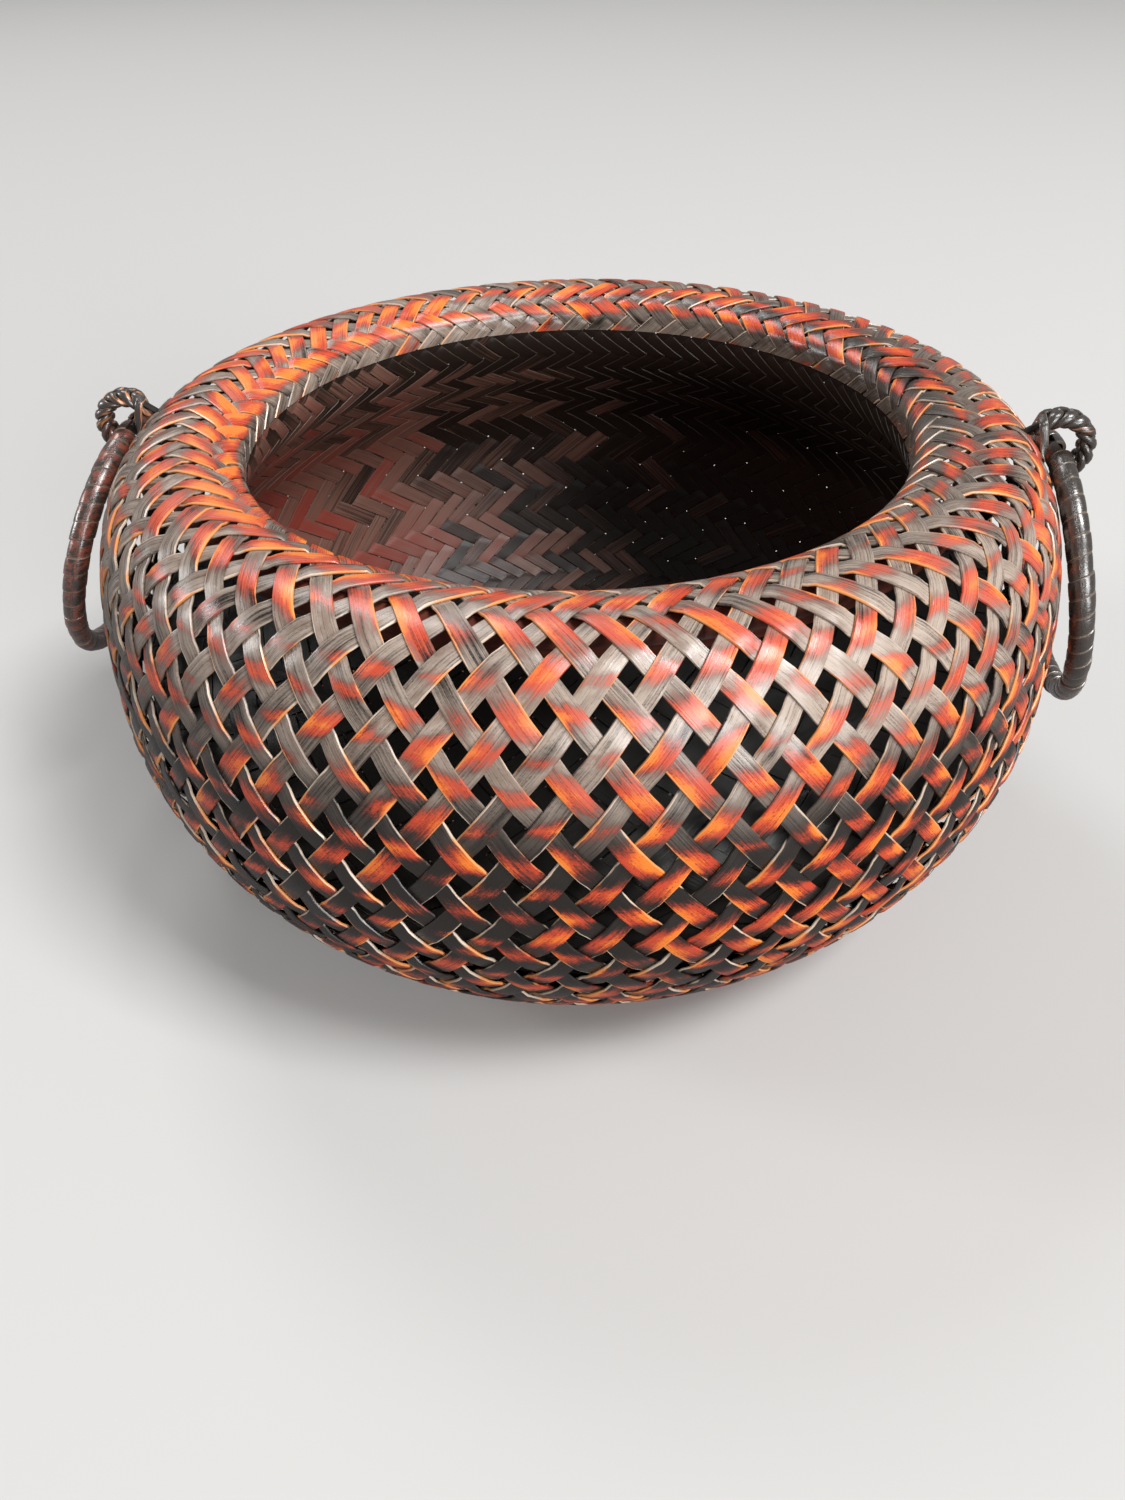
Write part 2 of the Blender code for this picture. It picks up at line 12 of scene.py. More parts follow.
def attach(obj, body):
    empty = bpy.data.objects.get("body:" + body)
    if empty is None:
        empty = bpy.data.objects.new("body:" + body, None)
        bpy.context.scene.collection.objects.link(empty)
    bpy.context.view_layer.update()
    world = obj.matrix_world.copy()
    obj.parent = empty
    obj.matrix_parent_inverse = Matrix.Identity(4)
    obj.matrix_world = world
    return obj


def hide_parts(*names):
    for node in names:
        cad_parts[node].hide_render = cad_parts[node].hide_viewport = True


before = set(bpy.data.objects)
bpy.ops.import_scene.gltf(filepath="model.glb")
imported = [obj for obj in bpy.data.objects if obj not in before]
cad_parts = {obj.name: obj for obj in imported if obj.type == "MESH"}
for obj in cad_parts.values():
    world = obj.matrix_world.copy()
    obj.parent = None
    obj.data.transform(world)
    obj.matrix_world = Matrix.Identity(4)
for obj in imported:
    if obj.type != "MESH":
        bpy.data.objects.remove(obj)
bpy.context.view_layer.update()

bl_info = {
    "name": "Plaited flower basket",
    "version": (1, 0, 0),
    "blender": (4, 5, 0),
    "location": "View3D > Sidebar > Basket",
    "description": "Builds a plaited bamboo flower basket with ring handles over its packed frame",
    "category": "Add Mesh",
}

TWO_PI = 2 * math.pi
# Angle of each lug about the axis, and how many degrees its ring leans outwards as it hangs.
SIDES = {"right": 0.0, "left": math.pi}
LEANS = {"right": 11.73, "left": 19.03}


def metres(name, default, description):
    """A length that a user can change."""
    return FloatProperty(name=name, default=default, description=description, unit="LENGTH", min=0.0,
                         precision=5)


def number_of(name, default, description):
    """A number of strips or turns that a user can change."""
    return IntProperty(name=name, default=default, description=description, min=8)


def tint(name, default, description):
    """A colour that a user can change."""
    return FloatVectorProperty(name=name, default=default, description=description, subtype="COLOR", size=3,
                               min=0.0, max=1.0)


class BasketSizes(PropertyGroup):
    """Sizes of the plait, the windings and the wall that they follow."""
    belly_radius: metres("Belly radius", 0.1600, "Outermost radius of the outer wall")
    rim_radius: metres("Rim radius", 0.1261, "Radius of the rim's ridge")
    neck_radius: metres("Neck radius", 0.1069, "Radius of the mouth at the neck")
    foot_radius: metres("Foot radius", 0.1123, "Radius where the outer wall ends on the foot hoop")
    shoulder_rise: metres("Shoulder rise", 0.0751, "Height of the rim above the belly")
    lip_drop: metres("Lip drop", 0.0079, "Depth of the neck below the rim")
    belly_drop: metres("Belly drop", 0.0727, "Depth of the foot below the belly")
    foot_height: metres("Foot height", 0.0070, "Height of the foot hoop")
    clearance: metres("Clearance", 0.0003, "Gap between pieces that touch")
    neck_band: metres("Neck band", 0.0050, "Straight part of the wall under the neck")
    strip_count: number_of("Strips", 68, "Outer strips of each lean")
    lining_count: number_of("Lining strips", 92, "Inner strips of each lean")
    strip_width: metres("Strip width", 0.0062, "Width of an outer strip")
    strip_thickness: metres("Strip thickness", 0.0008, "Thickness of an outer strip")
    lining_thickness: metres("Lining strip thickness", 0.0006, "Thickness of an inner strip")
    floor_thickness: metres("Floor strip thickness", 0.00055, "Thickness of a strip of the floor or base")
    lining_depth: metres("Lining depth", 0.0106, "How far the inner wall's face lies behind the outer wall")
    lug_standoff: metres("Lug standoff", 0.0056, "Distance from the wall to the middle of a lug's arch")
    lug_tube: metres("Lug thickness", 0.0030, "Half the thickness of a plaited lug")
    lug_width: metres("Lug width", 0.0088, "Width of a plaited lug")
    lug_cane: metres("Lug cane", 0.0013, "Half the thickness of the cane round a lug")
    tie_width: metres("Tie width", 0.0026, "Width of the strand that ties a lug to the wall")
    lining_pitch: metres("Floor strip pitch", 0.0072, "Distance between the strips of the floor and base")
    ring_radius: metres("Ring radius", 0.0420, "Radius of a ring handle along the middle of its tube")
    ring_tube: metres("Ring thickness", 0.0038, "Radius of a wound ring's tube")
    ring_turns: number_of("Ring turns", 44, "Turns of cane on each ring")


class BasketColours(PropertyGroup):
    """Colours of the lacquer, the cane and the stage."""
    charcoal: tint("Charcoal lacquer", (0.013, 0.009, 0.007), "Dark lacquer between the worn patches")
    # Grey: partly dust and partly painted sheen where the lamps fall on the shoulder and upper belly.
    grey: tint("Grey lacquer", (0.370, 0.285, 0.232), "Dusty lacquer on the shoulder and upper belly")
    umber: tint("Umber lacquer", (0.130, 0.068, 0.045), "Browner lacquer in among the grey")
    maroon: tint("Maroon lacquer", (0.130, 0.022, 0.013), "Thin lacquer round the worn patches")
    red: tint("Red patch", (0.600, 0.060, 0.020), "Rubbed red lacquer on a stretch that shows on top")
    orange: tint("Orange patch", (0.950, 0.230, 0.022), "Most rubbed part of a patch")
    bare_edge: tint("Bare edge", (0.900, 0.360, 0.120), "Bamboo laid bare along a strip's edges")
    # Dull edge: partly rubbed bamboo and partly painted glints.
    rubbed_edge_and_glint: tint("Dull edge", (0.720, 0.570, 0.450), "Rubbed edge away from the red patches")
    lining: tint("Lining", (0.018, 0.011, 0.008), "Dark lacquer of the inner wall")
    # The browner and redder inner strips also stand for painted light on the left inner wall.
    lining_brown: tint("Lining brown", (0.205, 0.100, 0.074), "Browner strips of the inner wall")
    lining_red: tint("Lining red", (0.260, 0.045, 0.032), "Reddest strips of the inner wall")
    # Lining back: painted shade on the inner wall's outer face, behind the outer strips.
    shaded_lining_back: tint("Lining back", (0.012, 0.011, 0.009), "Outer face of the inner wall, seen through gaps")
    cane: tint("Cane", (0.036, 0.027, 0.021), "Lacquered cane of the lugs and rings")
    cane_red: tint("Red cane", (0.240, 0.060, 0.036), "Redder turns of cane")
    cane_bare: tint("Bare cane", (0.700, 0.260, 0.100), "Cane laid bare on the lugs' knobs")
    # Dust: partly pale bloom and partly painted sheen over the shoulder.
    dust: tint("Dust", (0.620, 0.520, 0.430), "Pale bloom over the shoulder")
    base: tint("Base bamboo", (0.050, 0.028, 0.018), "Bamboo of the base and its slats")
    floor: tint("Floor", (0.60, 0.595, 0.585), "Pale floor under the basket")


def sizes():
    """The scene's basket sizes."""
    return bpy.context.scene.basket_sizes


def colours():
    """The scene's basket colours."""
    return bpy.context.scene.basket_colours


# Powers and steps of the outer wall's quarter curves.
SHOULDER_POWER = 2 / 2.41
BELLY_POWER = 2 / 1.70
CURVE_STEPS = 400
# The lining: steps, its side's end over the foot hoop, and its floor's edge and rise.
LINING_STEPS = 160
LINING_END = 0.0165
FLOOR_EDGE = 0.1050
FLOOR_RISE = 0.0034
# Climb of the strips in degrees at stops: metres inside, shares of the whole outside.
INSIDE_STOPS = (-0.200, -0.060, -0.012)
OUTSIDE_STOPS = (0, 0.068, 0.126, 0.388, 0.548, 0.728, 1.0)
CLIMBS = (36.0, 38.0, 42.0, 42.5, 47.0, 53.0, 54.0, 50.0, 50.0, 49.0)
LINE_STEP = 0.0005
NECK_ROW = -1.35


def rim_height(size):
    """Height of the rim's ridge above the floor."""
    return size.foot_height + size.clearance + size.belly_drop + size.shoulder_rise


def normals(points):
    """Unit normals of a line of points, to the left of its course."""
    along = np.gradient(points, axis=0)
    normal = np.stack([-along[:, 1], along[:, 0]], axis=1)
    return normal / np.hypot(*normal.T)[:, None]


def outer_curve(size):
    """Outer face in its radial plane: a quarter ellipse from the neck over the rim, then two superellipse
    quarters, one down to the belly and one down to the foot. Gives radius and height columns."""
    turn = np.linspace(0.0, math.pi / 2, CURVE_STEPS)
    sine, cosine = np.sin(turn), np.cos(turn)
    belly = size.foot_height + size.clearance + size.belly_drop
    lip = np.stack([size.rim_radius - (size.rim_radius - size.neck_radius) * cosine,
                    rim_height(size) - size.lip_drop * (1 - sine)], axis=1)
    shoulder = np.stack([size.rim_radius + (size.belly_radius - size.rim_radius) * sine ** SHOULDER_POWER,
                         belly + size.shoulder_rise * cosine ** SHOULDER_POWER], axis=1)
    lower = np.stack([size.foot_radius + (size.belly_radius - size.foot_radius) * cosine ** BELLY_POWER,
                      belly - size.belly_drop * sine ** BELLY_POWER], axis=1)
    return np.vstack([lip, shoulder[1:], lower[1:]])


def inner_curve(size):
    """Inner wall's face from the neck down to the floor: a straight drop below the neck, a smooth step out
    to the belly, then the outer wall's lower half moved in by the lining's depth, and in to the floor."""
    belly = size.foot_height + size.clearance + size.belly_drop
    neck = rim_height(size) - size.lip_drop
    top = neck - size.neck_band - size.clearance
    share = np.linspace(0.0, 1.0, LINING_STEPS)
    swell = share * share * (3 - 2 * share)
    upper = np.stack([size.neck_radius + (size.belly_radius - size.lining_depth - size.neck_radius) * swell,
                      top + (belly - top) * share], axis=1)
    outer = outer_curve(size)[2 * CURVE_STEPS - 1:]
    moved = outer - size.lining_depth * normals(outer)
    moved = moved[moved[:, 1] > size.foot_height + LINING_END]
    floor = (FLOOR_EDGE, size.foot_height + FLOOR_RISE)
    return np.vstack([(size.neck_radius, neck), upper, moved[1:], floor])


def running_length(points):
    """Length along a line of points up to each of them."""
    return np.concatenate([[0.0], np.cumsum(np.linalg.norm(np.diff(points, axis=0), axis=1))])


def smooth_line(arc, points):
    """A line of points read again at even steps of its length, eased over a few steps."""
    even = np.arange(arc[0], arc[-1], LINE_STEP)
    line = np.stack([np.interp(even, arc, points[:, 0]), np.interp(even, arc, points[:, 1])], axis=1)
    weights = np.hanning(9)[1:-1]
    weights /= weights.sum()
    padded = np.vstack([2 * line[0] - line[3:0:-1], line, 2 * line[-1] - line[-2:-5:-1]])
    eased = np.stack([np.convolve(padded[:, axis], weights, "valid") for axis in (0, 1)], axis=1)
    return even, eased


class WallLine:
    """The plaited wall in its radial plane as one line: up inside from the floor, over the rim, down outside.

    Length along it is zero at the neck, negative inside and positive outside. At each length it holds radius,
    height, normal, the strips' climb and the number of the row of crossings: rows add up from strip count
    over pi times radius times the tangent of the climb, and the neck has a row number of its own."""

    def __init__(self, size, count):
        outer = outer_curve(size)
        inner = inner_curve(size)
        outer_length = running_length(outer)
        arc = np.concatenate([-running_length(inner)[:0:-1], outer_length])
        points = np.vstack([inner[:0:-1], outer])
        self.arc, self.points = smooth_line(arc, points)
        self.normal = normals(self.points)
        stops = np.concatenate([INSIDE_STOPS, np.array(OUTSIDE_STOPS) * outer_length[-1]])
        self.climb = np.radians(np.interp(self.arc, stops, CLIMBS))
        rate = count / (math.pi * self.points[:, 0] * np.tan(self.climb))
        rows = np.concatenate([[0.0], np.cumsum((rate[1:] + rate[:-1]) / 2 * np.diff(self.arc))])
        self.rows = rows - np.interp(0.0, self.arc, rows) + NECK_ROW
        self.start, self.end = self.arc[0], self.arc[-1]
        self.count = count

    def read(self, arc, column):
        """Values of one of the line's columns at lengths along it."""
        return np.interp(arc, self.arc, column)

    def place(self, arc, depth):
        """Radius and height at lengths along the line, that far behind its face."""
        radius = self.read(arc, self.points[:, 0]) - depth * self.read(arc, self.normal[:, 0])
        height = self.read(arc, self.points[:, 1]) - depth * self.read(arc, self.normal[:, 1])
        return radius, height

    def arc_of_row(self, row):
        """Length along the line at a row of crossings."""
        return np.interp(row, self.rows, self.arc)


# Row where the outer wall's twill gives way to plain weave, and half a stretch on top in rows.
PLAIN_ROW = 5
TWILL_REACH, PLAIN_REACH, LINING_REACH = 1.12, 0.62, 1.7


def strip_on_top(row):
    """1 where the outer strips that run down to the right pass on top at whole rows, else -1: two rows of
    each lean in turn on the rim, one row of each in turn on the shoulder and belly."""
    twill = np.where(np.floor((row + 1) / 2) % 2 == 0, 1.0, -1.0)
    plain = np.where(row % 2 == 0, 1.0, -1.0)
    return np.where(row >= PLAIN_ROW, plain, twill)


def lining_on_top(row):
    """The same for the inner strips: three rows of each lean in turn."""
    return np.where(np.floor(row / 3) % 2 == 0, 1.0, -1.0)


def floor_twill(row):
    """1 where a flat plait's strip passes on top: two crossings over and two under in turn."""
    return np.where(np.floor(row) % 4 < 2, 1.0, -1.0)


def over_and_under(row, flat, state):
    """Height of a strip in its plait from -1 to 1: flat at each crossing and a smooth step between them."""
    below = np.floor(row)
    share = row - below
    step = np.clip((share - flat) / np.maximum(1 - 2 * flat, 0.05), 0.0, 1.0)
    step = step * step * (3 - 2 * step)
    first = state(below)
    return first + (state(below + 1) - first) * step


def lining_middle(row, lean):
    """Row in the middle of an inner strip's nearest stretch on top, and half that stretch in rows."""
    middle = 1 if lean > 0 else 4
    return 6 * np.round((row - middle) / 6) + middle, LINING_REACH


def float_middle(row, lean):
    """Row in the middle of an outer strip's nearest stretch on top, and half that stretch in rows."""
    start, first, change = (0, 6, 4.8) if lean > 0 else (1, 5, 3.5)
    offset = 2 * start - 0.5
    twill = 4 * np.round((row - offset) / 4) + offset
    plain = np.maximum(2 * np.round((row - start) / 2) + start, first)
    return np.where(row > change, plain, twill), np.where(row > change, PLAIN_REACH, TWILL_REACH)


def build_mesh(name, points, faces, caps=()):
    """Mesh object from an array of points and arrays of faces."""
    mesh = bpy.data.meshes.new(name)
    sides = faces.reshape(-1, faces.shape[-1]).tolist()
    mesh.from_pydata(points.reshape(-1, 3).tolist(), [], sides + list(caps))
    mesh.update()
    piece = bpy.data.objects.new(name, mesh)
    bpy.context.scene.collection.objects.link(piece)
    return piece


def tube_faces(tubes, stations, corners, closed=False):
    """Faces of many tubes laid out as tubes by stations by corners, and the caps of open ones."""
    index = np.arange(tubes * stations * corners).reshape(tubes, stations, corners)
    upper = index if closed else index[:, :-1]
    lower = np.roll(index, -1, axis=1) if closed else index[:, 1:]
    quads = np.stack([upper, np.roll(upper, -1, axis=2), np.roll(lower, -1, axis=2), lower], axis=-1)
    caps = [] if closed else index[:, 0, ::-1].tolist() + index[:, -1].tolist()
    return quads, caps


def tube_piece(name, points, closed=False):
    """Piece from points laid out as tubes by stations by corners, its faces turned outwards."""
    piece = build_mesh(name, points, *tube_faces(*points.shape[:3], closed))
    bm = bmesh.new()
    bm.from_mesh(piece.data)
    bmesh.ops.recalc_face_normals(bm, faces=bm.faces[:])
    bm.to_mesh(piece.data)
    bm.free()
    return piece


def add_values(piece, layout, **values):
    """Store named numbers on a mesh's points, spread over the points' layout, for its material to read."""
    for name, numbers in values.items():
        layer = piece.data.attributes.new(name, "FLOAT", "POINT")
        spread = np.ascontiguousarray(np.broadcast_to(numbers, layout), dtype=np.float32)
        layer.data.foreach_set("value", spread.ravel())


def shade(piece, material, angle=35.0):
    """Give a piece its material and smooth shading with sharp edges kept."""
    piece.data.materials.append(material)
    piece.data.shade_smooth()
    piece.data.set_sharp_from_angle(angle=math.radians(angle))


# Corners round a strip's section: half widths across it, and thicknesses up from its middle.
SECTION = np.array([[-1.0, -0.93, -0.6, 0.0, 0.6, 0.93, 1.0, 0.97, -0.97],
                    [-0.05, 0.38, 0.47, 0.50, 0.47, 0.38, -0.05, -0.5, -0.5]])[:, None, None, :]
LINING_SECTION = SECTION[..., [0, 1, 3, 5, 6, 7, 8]]
# How far strips differ in width and thickness, half their rise in the plait, and a seed's step per strip.
WIDTH_SPREAD = (0.93, 1.04)
THICKNESS_SPREAD = (0.92, 1.05)
PLAIT_RISE = 0.56
SEED_STEP = 0.137


def plaited_strips(name, wall, lean, first, last, width, thickness, rng, per_row, loose, wear_and_shade_side,
                   state=strip_on_top, stretch=float_middle, section=SECTION):
    """Strips of one lean, woven over and under those of the other.

    A strip's middle line turns about the axis by the row number times half the pitch, to the right or left as
    it goes down. Its height in the plait is the over-and-under step read at the row under each of its points,
    and its section is a flat crowned one laid level round the axis. Each strip drifts sideways and swells a
    little by slow waves of its own."""
    count = wall.count
    low, high = wall.read(first, wall.rows), wall.read(last, wall.rows)
    stations = int((high - low) * per_row) + 1
    rows = np.linspace(low, high, stations)[None, :, None]
    arc = wall.arc_of_row(rows)
    radius = wall.read(arc, wall.points[:, 0])
    level = width(arc) / (2 * radius * np.sin(wall.read(arc, wall.climb)))
    strip = np.arange(count)[:, None, None]
    phase = rng.uniform(0, TWO_PI, (count, 1, 1))
    drift = loose * (np.sin(rows * 0.55 + phase) + 0.6 * np.sin(rows * 1.3 + 2.1 * phase))
    swell = rng.uniform(*WIDTH_SPREAD, (count, 1, 1)) * (1 + 0.03 * np.sin(rows * 0.9 + 3 * phase))
    middle = lean * rows * math.pi / count + strip * TWO_PI / count + drift / radius
    aside = section[0] * level * swell
    local = rows + lean * aside * count / TWO_PI
    flat = np.clip(level * count / TWO_PI + 0.02, 0.1, 0.41)
    height = lean * over_and_under(local, flat, state)
    amplitude = thickness * PLAIT_RISE
    lift = height * amplitude + section[1] * thickness * rng.uniform(*THICKNESS_SPREAD, (count, 1, 1))
    out, up = wall.place(arc + 0 * aside, amplitude + thickness / 2 - lift)
    angle = middle + aside
    points = np.stack([out * np.cos(angle), out * np.sin(angle), up], axis=-1)
    faces, caps = tube_faces(count, stations, section.shape[-1])
    if lean > 0:
        faces = faces[..., ::-1]
        caps = [cap[::-1] for cap in caps]
    piece = build_mesh(name, points, faces, caps)
    add_floats(piece, rows, stretch(rows, lean), strip, angle, arc, rng, wear_and_shade_side, section)
    return piece


# Wear: draws for each strip, the rim's reach, longer patches and favoured side, the neck's depth, and how
# patches fade inside it and the inner wall darkens towards it. Angles are degrees about the axis.
DRAWN_COLUMNS = 400
RIM_MIDDLE, RIM_SPREAD, RIM_PATCH = 0.010, 0.030, 0.45
RIM_FAVOUR = (165.0, 0.72)
NECK_DEPTH = 0.005
PATCH_LOSS, PATCH_FADE = 0.9, 0.008
LINING_NECK_DARKENING, LINING_NECK_FADE = 0.75, 0.022
# Dust and painted sheen: the rim's side and the wall's side where the grey is thinner and darker, and where
# on the shoulder a painted highlight is brightest.
RIM_DARKER_SIDE = 35.0
WALL_DARKER_SIDE = (190.0, 0.28)
SHEEN_SIDE, SHEEN_MIDDLE, SHEEN_SPREAD = -55.0, 0.056, 0.020


def facing(angle, degrees):
    """Cosine of the angle from one direction about the axis, which is given in degrees."""
    return np.cos(angle - math.radians(degrees))


def hump(arc, middle, spread):
    """Bell curve from 0 to 1 round one length on the wall line."""
    return np.exp(-((arc - middle) / spread) ** 2)


def add_floats(piece, rows, stretch, strip, angle, arc, rng, wear_and_shade_side, section):
    """Store where each point lies on its strip, how its stretch on top is worn, and its share of dust and
    painted sheen.

    A worn patch falls off evenly from its middle, which lies off the stretch's own by a random share; its
    length, wear and worn side differ from one stretch to the next. Patches are longer on the rim and fade in
    the neck, and the inner wall darkens up to the neck. Wear is favoured on one side of the wall, and of
    the rim, by the cosine of the angle from there; on the inner wall that side term is painted light on the
    left and painted shade on the right. The grey, partly dust and partly painted sheen, is thinner on the
    rim's right back and the wall's left, and is brightest as a painted highlight on the front right shoulder."""
    centre, reach = stretch
    column = np.round(2 * centre).astype(int) % DRAWN_COLUMNS
    wear, side, shift, long = rng.random((4, strip.size, DRAWN_COLUMNS))[:, strip, column]
    shift = (shift - 0.42) * 0.7
    long = 0.50 + 0.55 * long
    rim = np.clip(1 - np.abs(arc - RIM_MIDDLE) / RIM_SPREAD, 0, 1)
    patch = 1 - np.abs((rows - centre) / reach - shift) / long + RIM_PATCH * rim
    patch = patch - PATCH_LOSS * np.clip((NECK_DEPTH - arc) / PATCH_FADE, 0, 1)
    if arc.max() < RIM_MIDDLE:
        rim = 0.0
        wear = wear - LINING_NECK_DARKENING * np.exp((arc + NECK_DEPTH) / LINING_NECK_FADE)
    # On the inner wall this side term is painted light on the left and painted shade on the right.
    wear = wear + (1 - rim) * wear_and_shade_side[1] * facing(angle, wear_and_shade_side[0])
    wear = wear + rim * RIM_FAVOUR[1] * facing(angle, RIM_FAVOUR[0])
    # The grey's share: partly dust and partly painted sheen, darker on the rim's right back and the wall's
    # left, with a painted highlight on the front right shoulder.
    dusty = 1 - rim * facing(angle, RIM_DARKER_SIDE).clip(0)
    dusty = dusty - WALL_DARKER_SIDE[1] * (1 - rim) * facing(angle, WALL_DARKER_SIDE[0]).clip(0)
    dusty = dusty + hump(arc, SHEEN_MIDDLE, SHEEN_SPREAD) * facing(angle, SHEEN_SIDE).clip(0) ** 6
    add_values(piece, angle.shape, across=section[0], up=section[1], along=arc, seed=strip * SEED_STEP,
               patch=patch, wear=wear, side=side * 2 - 1, dusty=dusty)


# A flat plait: half of the pitch that a strip covers, how far strips differ in width, how long each crossing
# stays level, random draws kept for each strip, and the corners round its section.
FLAT_COVER = 0.475
FLAT_SPREAD = (0.95, 1.02)
FLAT_LEVEL = 0.36
FLAT_COLUMNS = 120
FLAT_ACROSS = np.array([-1.0, -0.9, 0.0, 0.9, 1.0, 0.95, -0.95])
FLAT_RISE = np.array([0.0, 0.42, 0.5, 0.42, 0.0, -0.5, -0.5])


def flat_plait(name, turn, radius, top, pitch, thickness, way, rng):
    """Strips of one direction of a flat round plait: straight, cut to the disc, over two and under two.

    Strip number i lies at i and a half pitches from the middle; its height is the twill's step at the number
    of the crossing under each of its points plus i."""
    count = 2 * int(radius / pitch)
    number = (np.arange(count) - count // 2)[:, None, None]
    offset = (number + 0.5) * pitch
    half = np.sqrt(radius ** 2 - (np.abs(offset) + pitch / 2).clip(0, radius * 0.9999) ** 2)
    stations = 4 * count
    along = np.linspace(-1.0, 1.0, stations)[None, :, None] * half
    aside = offset + FLAT_ACROSS * pitch * FLAT_COVER * rng.uniform(*FLAT_SPREAD, (count, 1, 1))
    height = way * over_and_under(along / pitch - 0.5 + number, FLAT_LEVEL, floor_twill)
    rise = height * PLAIT_RISE + FLAT_RISE - PLAIT_RISE - 0.5
    along, aside, level = np.broadcast_arrays(along, aside, top + rise * thickness)
    u, v = (along, aside) if way > 0 else (aside, along)
    cosine, sine = math.cos(turn), math.sin(turn)
    points = np.stack([u * cosine - v * sine, u * sine + v * cosine, level], axis=-1)
    piece = tube_piece(name, points)
    column = (np.floor(along / (2 * pitch)) + FLAT_COLUMNS // 2).astype(int)
    wear = rng.random((count, FLAT_COLUMNS))[np.arange(count)[:, None, None], column]
    add_values(piece, along.shape, across=FLAT_ACROSS, up=FLAT_RISE, along=along, seed=number * SEED_STEP,
               wear=wear)
    return piece


def new_material(name):
    """New node material, its node tree and its surface shader."""
    material = bpy.data.materials.new(name)
    material.use_nodes = True
    tree = material.node_tree
    return material, tree, tree.nodes["Principled BSDF"]


def add_node(tree, kind, inputs=(), **settings):
    """New shader node with its settings; each of its inputs is linked to a socket or set to a value."""
    node = tree.nodes.new("ShaderNode" + kind)
    for name, value in settings.items():
        setattr(node, name, value)
    for slot, value in inputs:
        if isinstance(value, bpy.types.NodeSocket):
            tree.links.new(value, node.inputs[slot])
        else:
            node.inputs[slot].default_value = value
    return node


class Number:
    """A number in a material's nodes, which can be added to and multiplied by others and plain numbers."""

    def __init__(self, tree, socket):
        self.tree = tree
        self.socket = socket

    def math(self, operation, *others):
        """Math node on this number and others."""
        values = [self.socket] + [getattr(other, "socket", other) for other in others]
        node = add_node(self.tree, "Math", enumerate(values), operation=operation)
        return Number(self.tree, node.outputs[0])

    def __add__(self, other):
        return self.math("ADD", other)

    def __mul__(self, other):
        return self.math("MULTIPLY", other)

    def swing(self, strength):
        """How far the number lies from a half, times a strength."""
        return (self + -0.5) * strength

    def ramp(self, low, high):
        """The number eased from 0 to 1 between two limits."""
        inputs = (("Value", self.socket), ("From Min", low), ("From Max", high))
        node = add_node(self.tree, "MapRange", inputs, interpolation_type="SMOOTHSTEP")
        return Number(self.tree, node.outputs["Result"])


def value_of(tree, name):
    """Number stored on the mesh's points."""
    return Number(tree, add_node(tree, "Attribute", attribute_name=name).outputs["Fac"])


def noise(tree, vector, detail):
    """Noise pattern from 0 to 1."""
    inputs = (("Vector", vector), ("Scale", 1.0), ("Detail", detail), ("Roughness", 0.6))
    return Number(tree, add_node(tree, "TexNoise", inputs).outputs["Fac"])


# Numbers of a Mix node's two colour inputs and of its colour output.
MIX_INPUTS = (6, 7)
MIX_OUTPUT = 2


def mix(share, *pair):
    """Blend of two colours, each a socket or a colour, by a share from 0 to 1."""
    colours_in = [value if isinstance(value, bpy.types.NodeSocket) else (*value, 1.0) for value in pair]
    inputs = [("Factor", share.socket), *zip(MIX_INPUTS, colours_in)]
    return add_node(share.tree, "Mix", inputs, data_type="RGBA").outputs[MIX_OUTPUT]


def fill_surface(surface, colour, roughness, relief, **levels):
    """Link a surface's colour and roughness and the bump of its relief, and set its constant levels.

    Relief is a height pattern, a strength and a depth in metres."""
    height, strength, depth = relief
    inputs = (("Height", height.socket), ("Strength", strength), ("Distance", depth))
    normal = add_node(height.tree, "Bump", inputs).outputs["Normal"]
    for name, socket in (("Base Color", colour), ("Roughness", roughness.socket), ("Normal", normal)):
        height.tree.links.new(socket, surface.inputs[name])
    for name, level in levels.items():
        surface.inputs[name.replace("_", " ")].default_value = level


# Noise along a strip: its scale across, along and from seed to seed, and its detail.
FIBRES = (8.5, 40.0, 11.0, 4.0)
BLOTCH = (1.1, 150.0, 7.0, 3.0)
CLOUD = (0.5, 55.0, 3.0, 2.0)
SPECKLE = (8.0, 1900.0, 5.0, 3.0)
LINING_FIBRES = (6.0, 40.0, 11.0, 4.0)
CANE_FIBRES = (5.0, 160.0, 3.7, 3.0)
CANE_CLOUD = (0.8, 45.0, 1.9, 2.0)
CANE_SPOTS = (1.2, 95.0, 5.3, 2.0)
# Limits between which each layer of colour comes in, by height, wear, pattern or place across the strip.
UPPER_HEIGHTS = (0.100, 0.140)
BROWNER = (0.50, 0.72)
MAROON = (0.10, 0.60)
RED = (0.38, 1.10)
ORANGE = (1.05, 1.95)
BLOOM_AND_SHEEN = (0.25, 0.80)
PITS = (0.42, 0.28)
BARE = (0.0, 0.60)
EDGES = (0.92, 1.02)
LINING_BROWN = (0.15, 0.85)
LINING_RED = (0.80, 1.40)
LINING_EDGES = (0.93, 1.0)
OUTWARD = (-0.1, 0.3)
CANE_EDGES = (0.80, 1.0)
# Depth of the fibres' bump in metres.
FIBRE_DEPTH = 0.00010


def strip_pattern(tree, across, along, seed, detail):
    """Noise laid along a strip, from its across and along numbers and its own seed."""
    scales = {"across": across, "along": along, "seed": seed}
    parts = [(value_of(tree, name) * scale).socket for name, scale in scales.items()]
    return noise(tree, add_node(tree, "CombineXYZ", enumerate(parts)).outputs[0], detail)


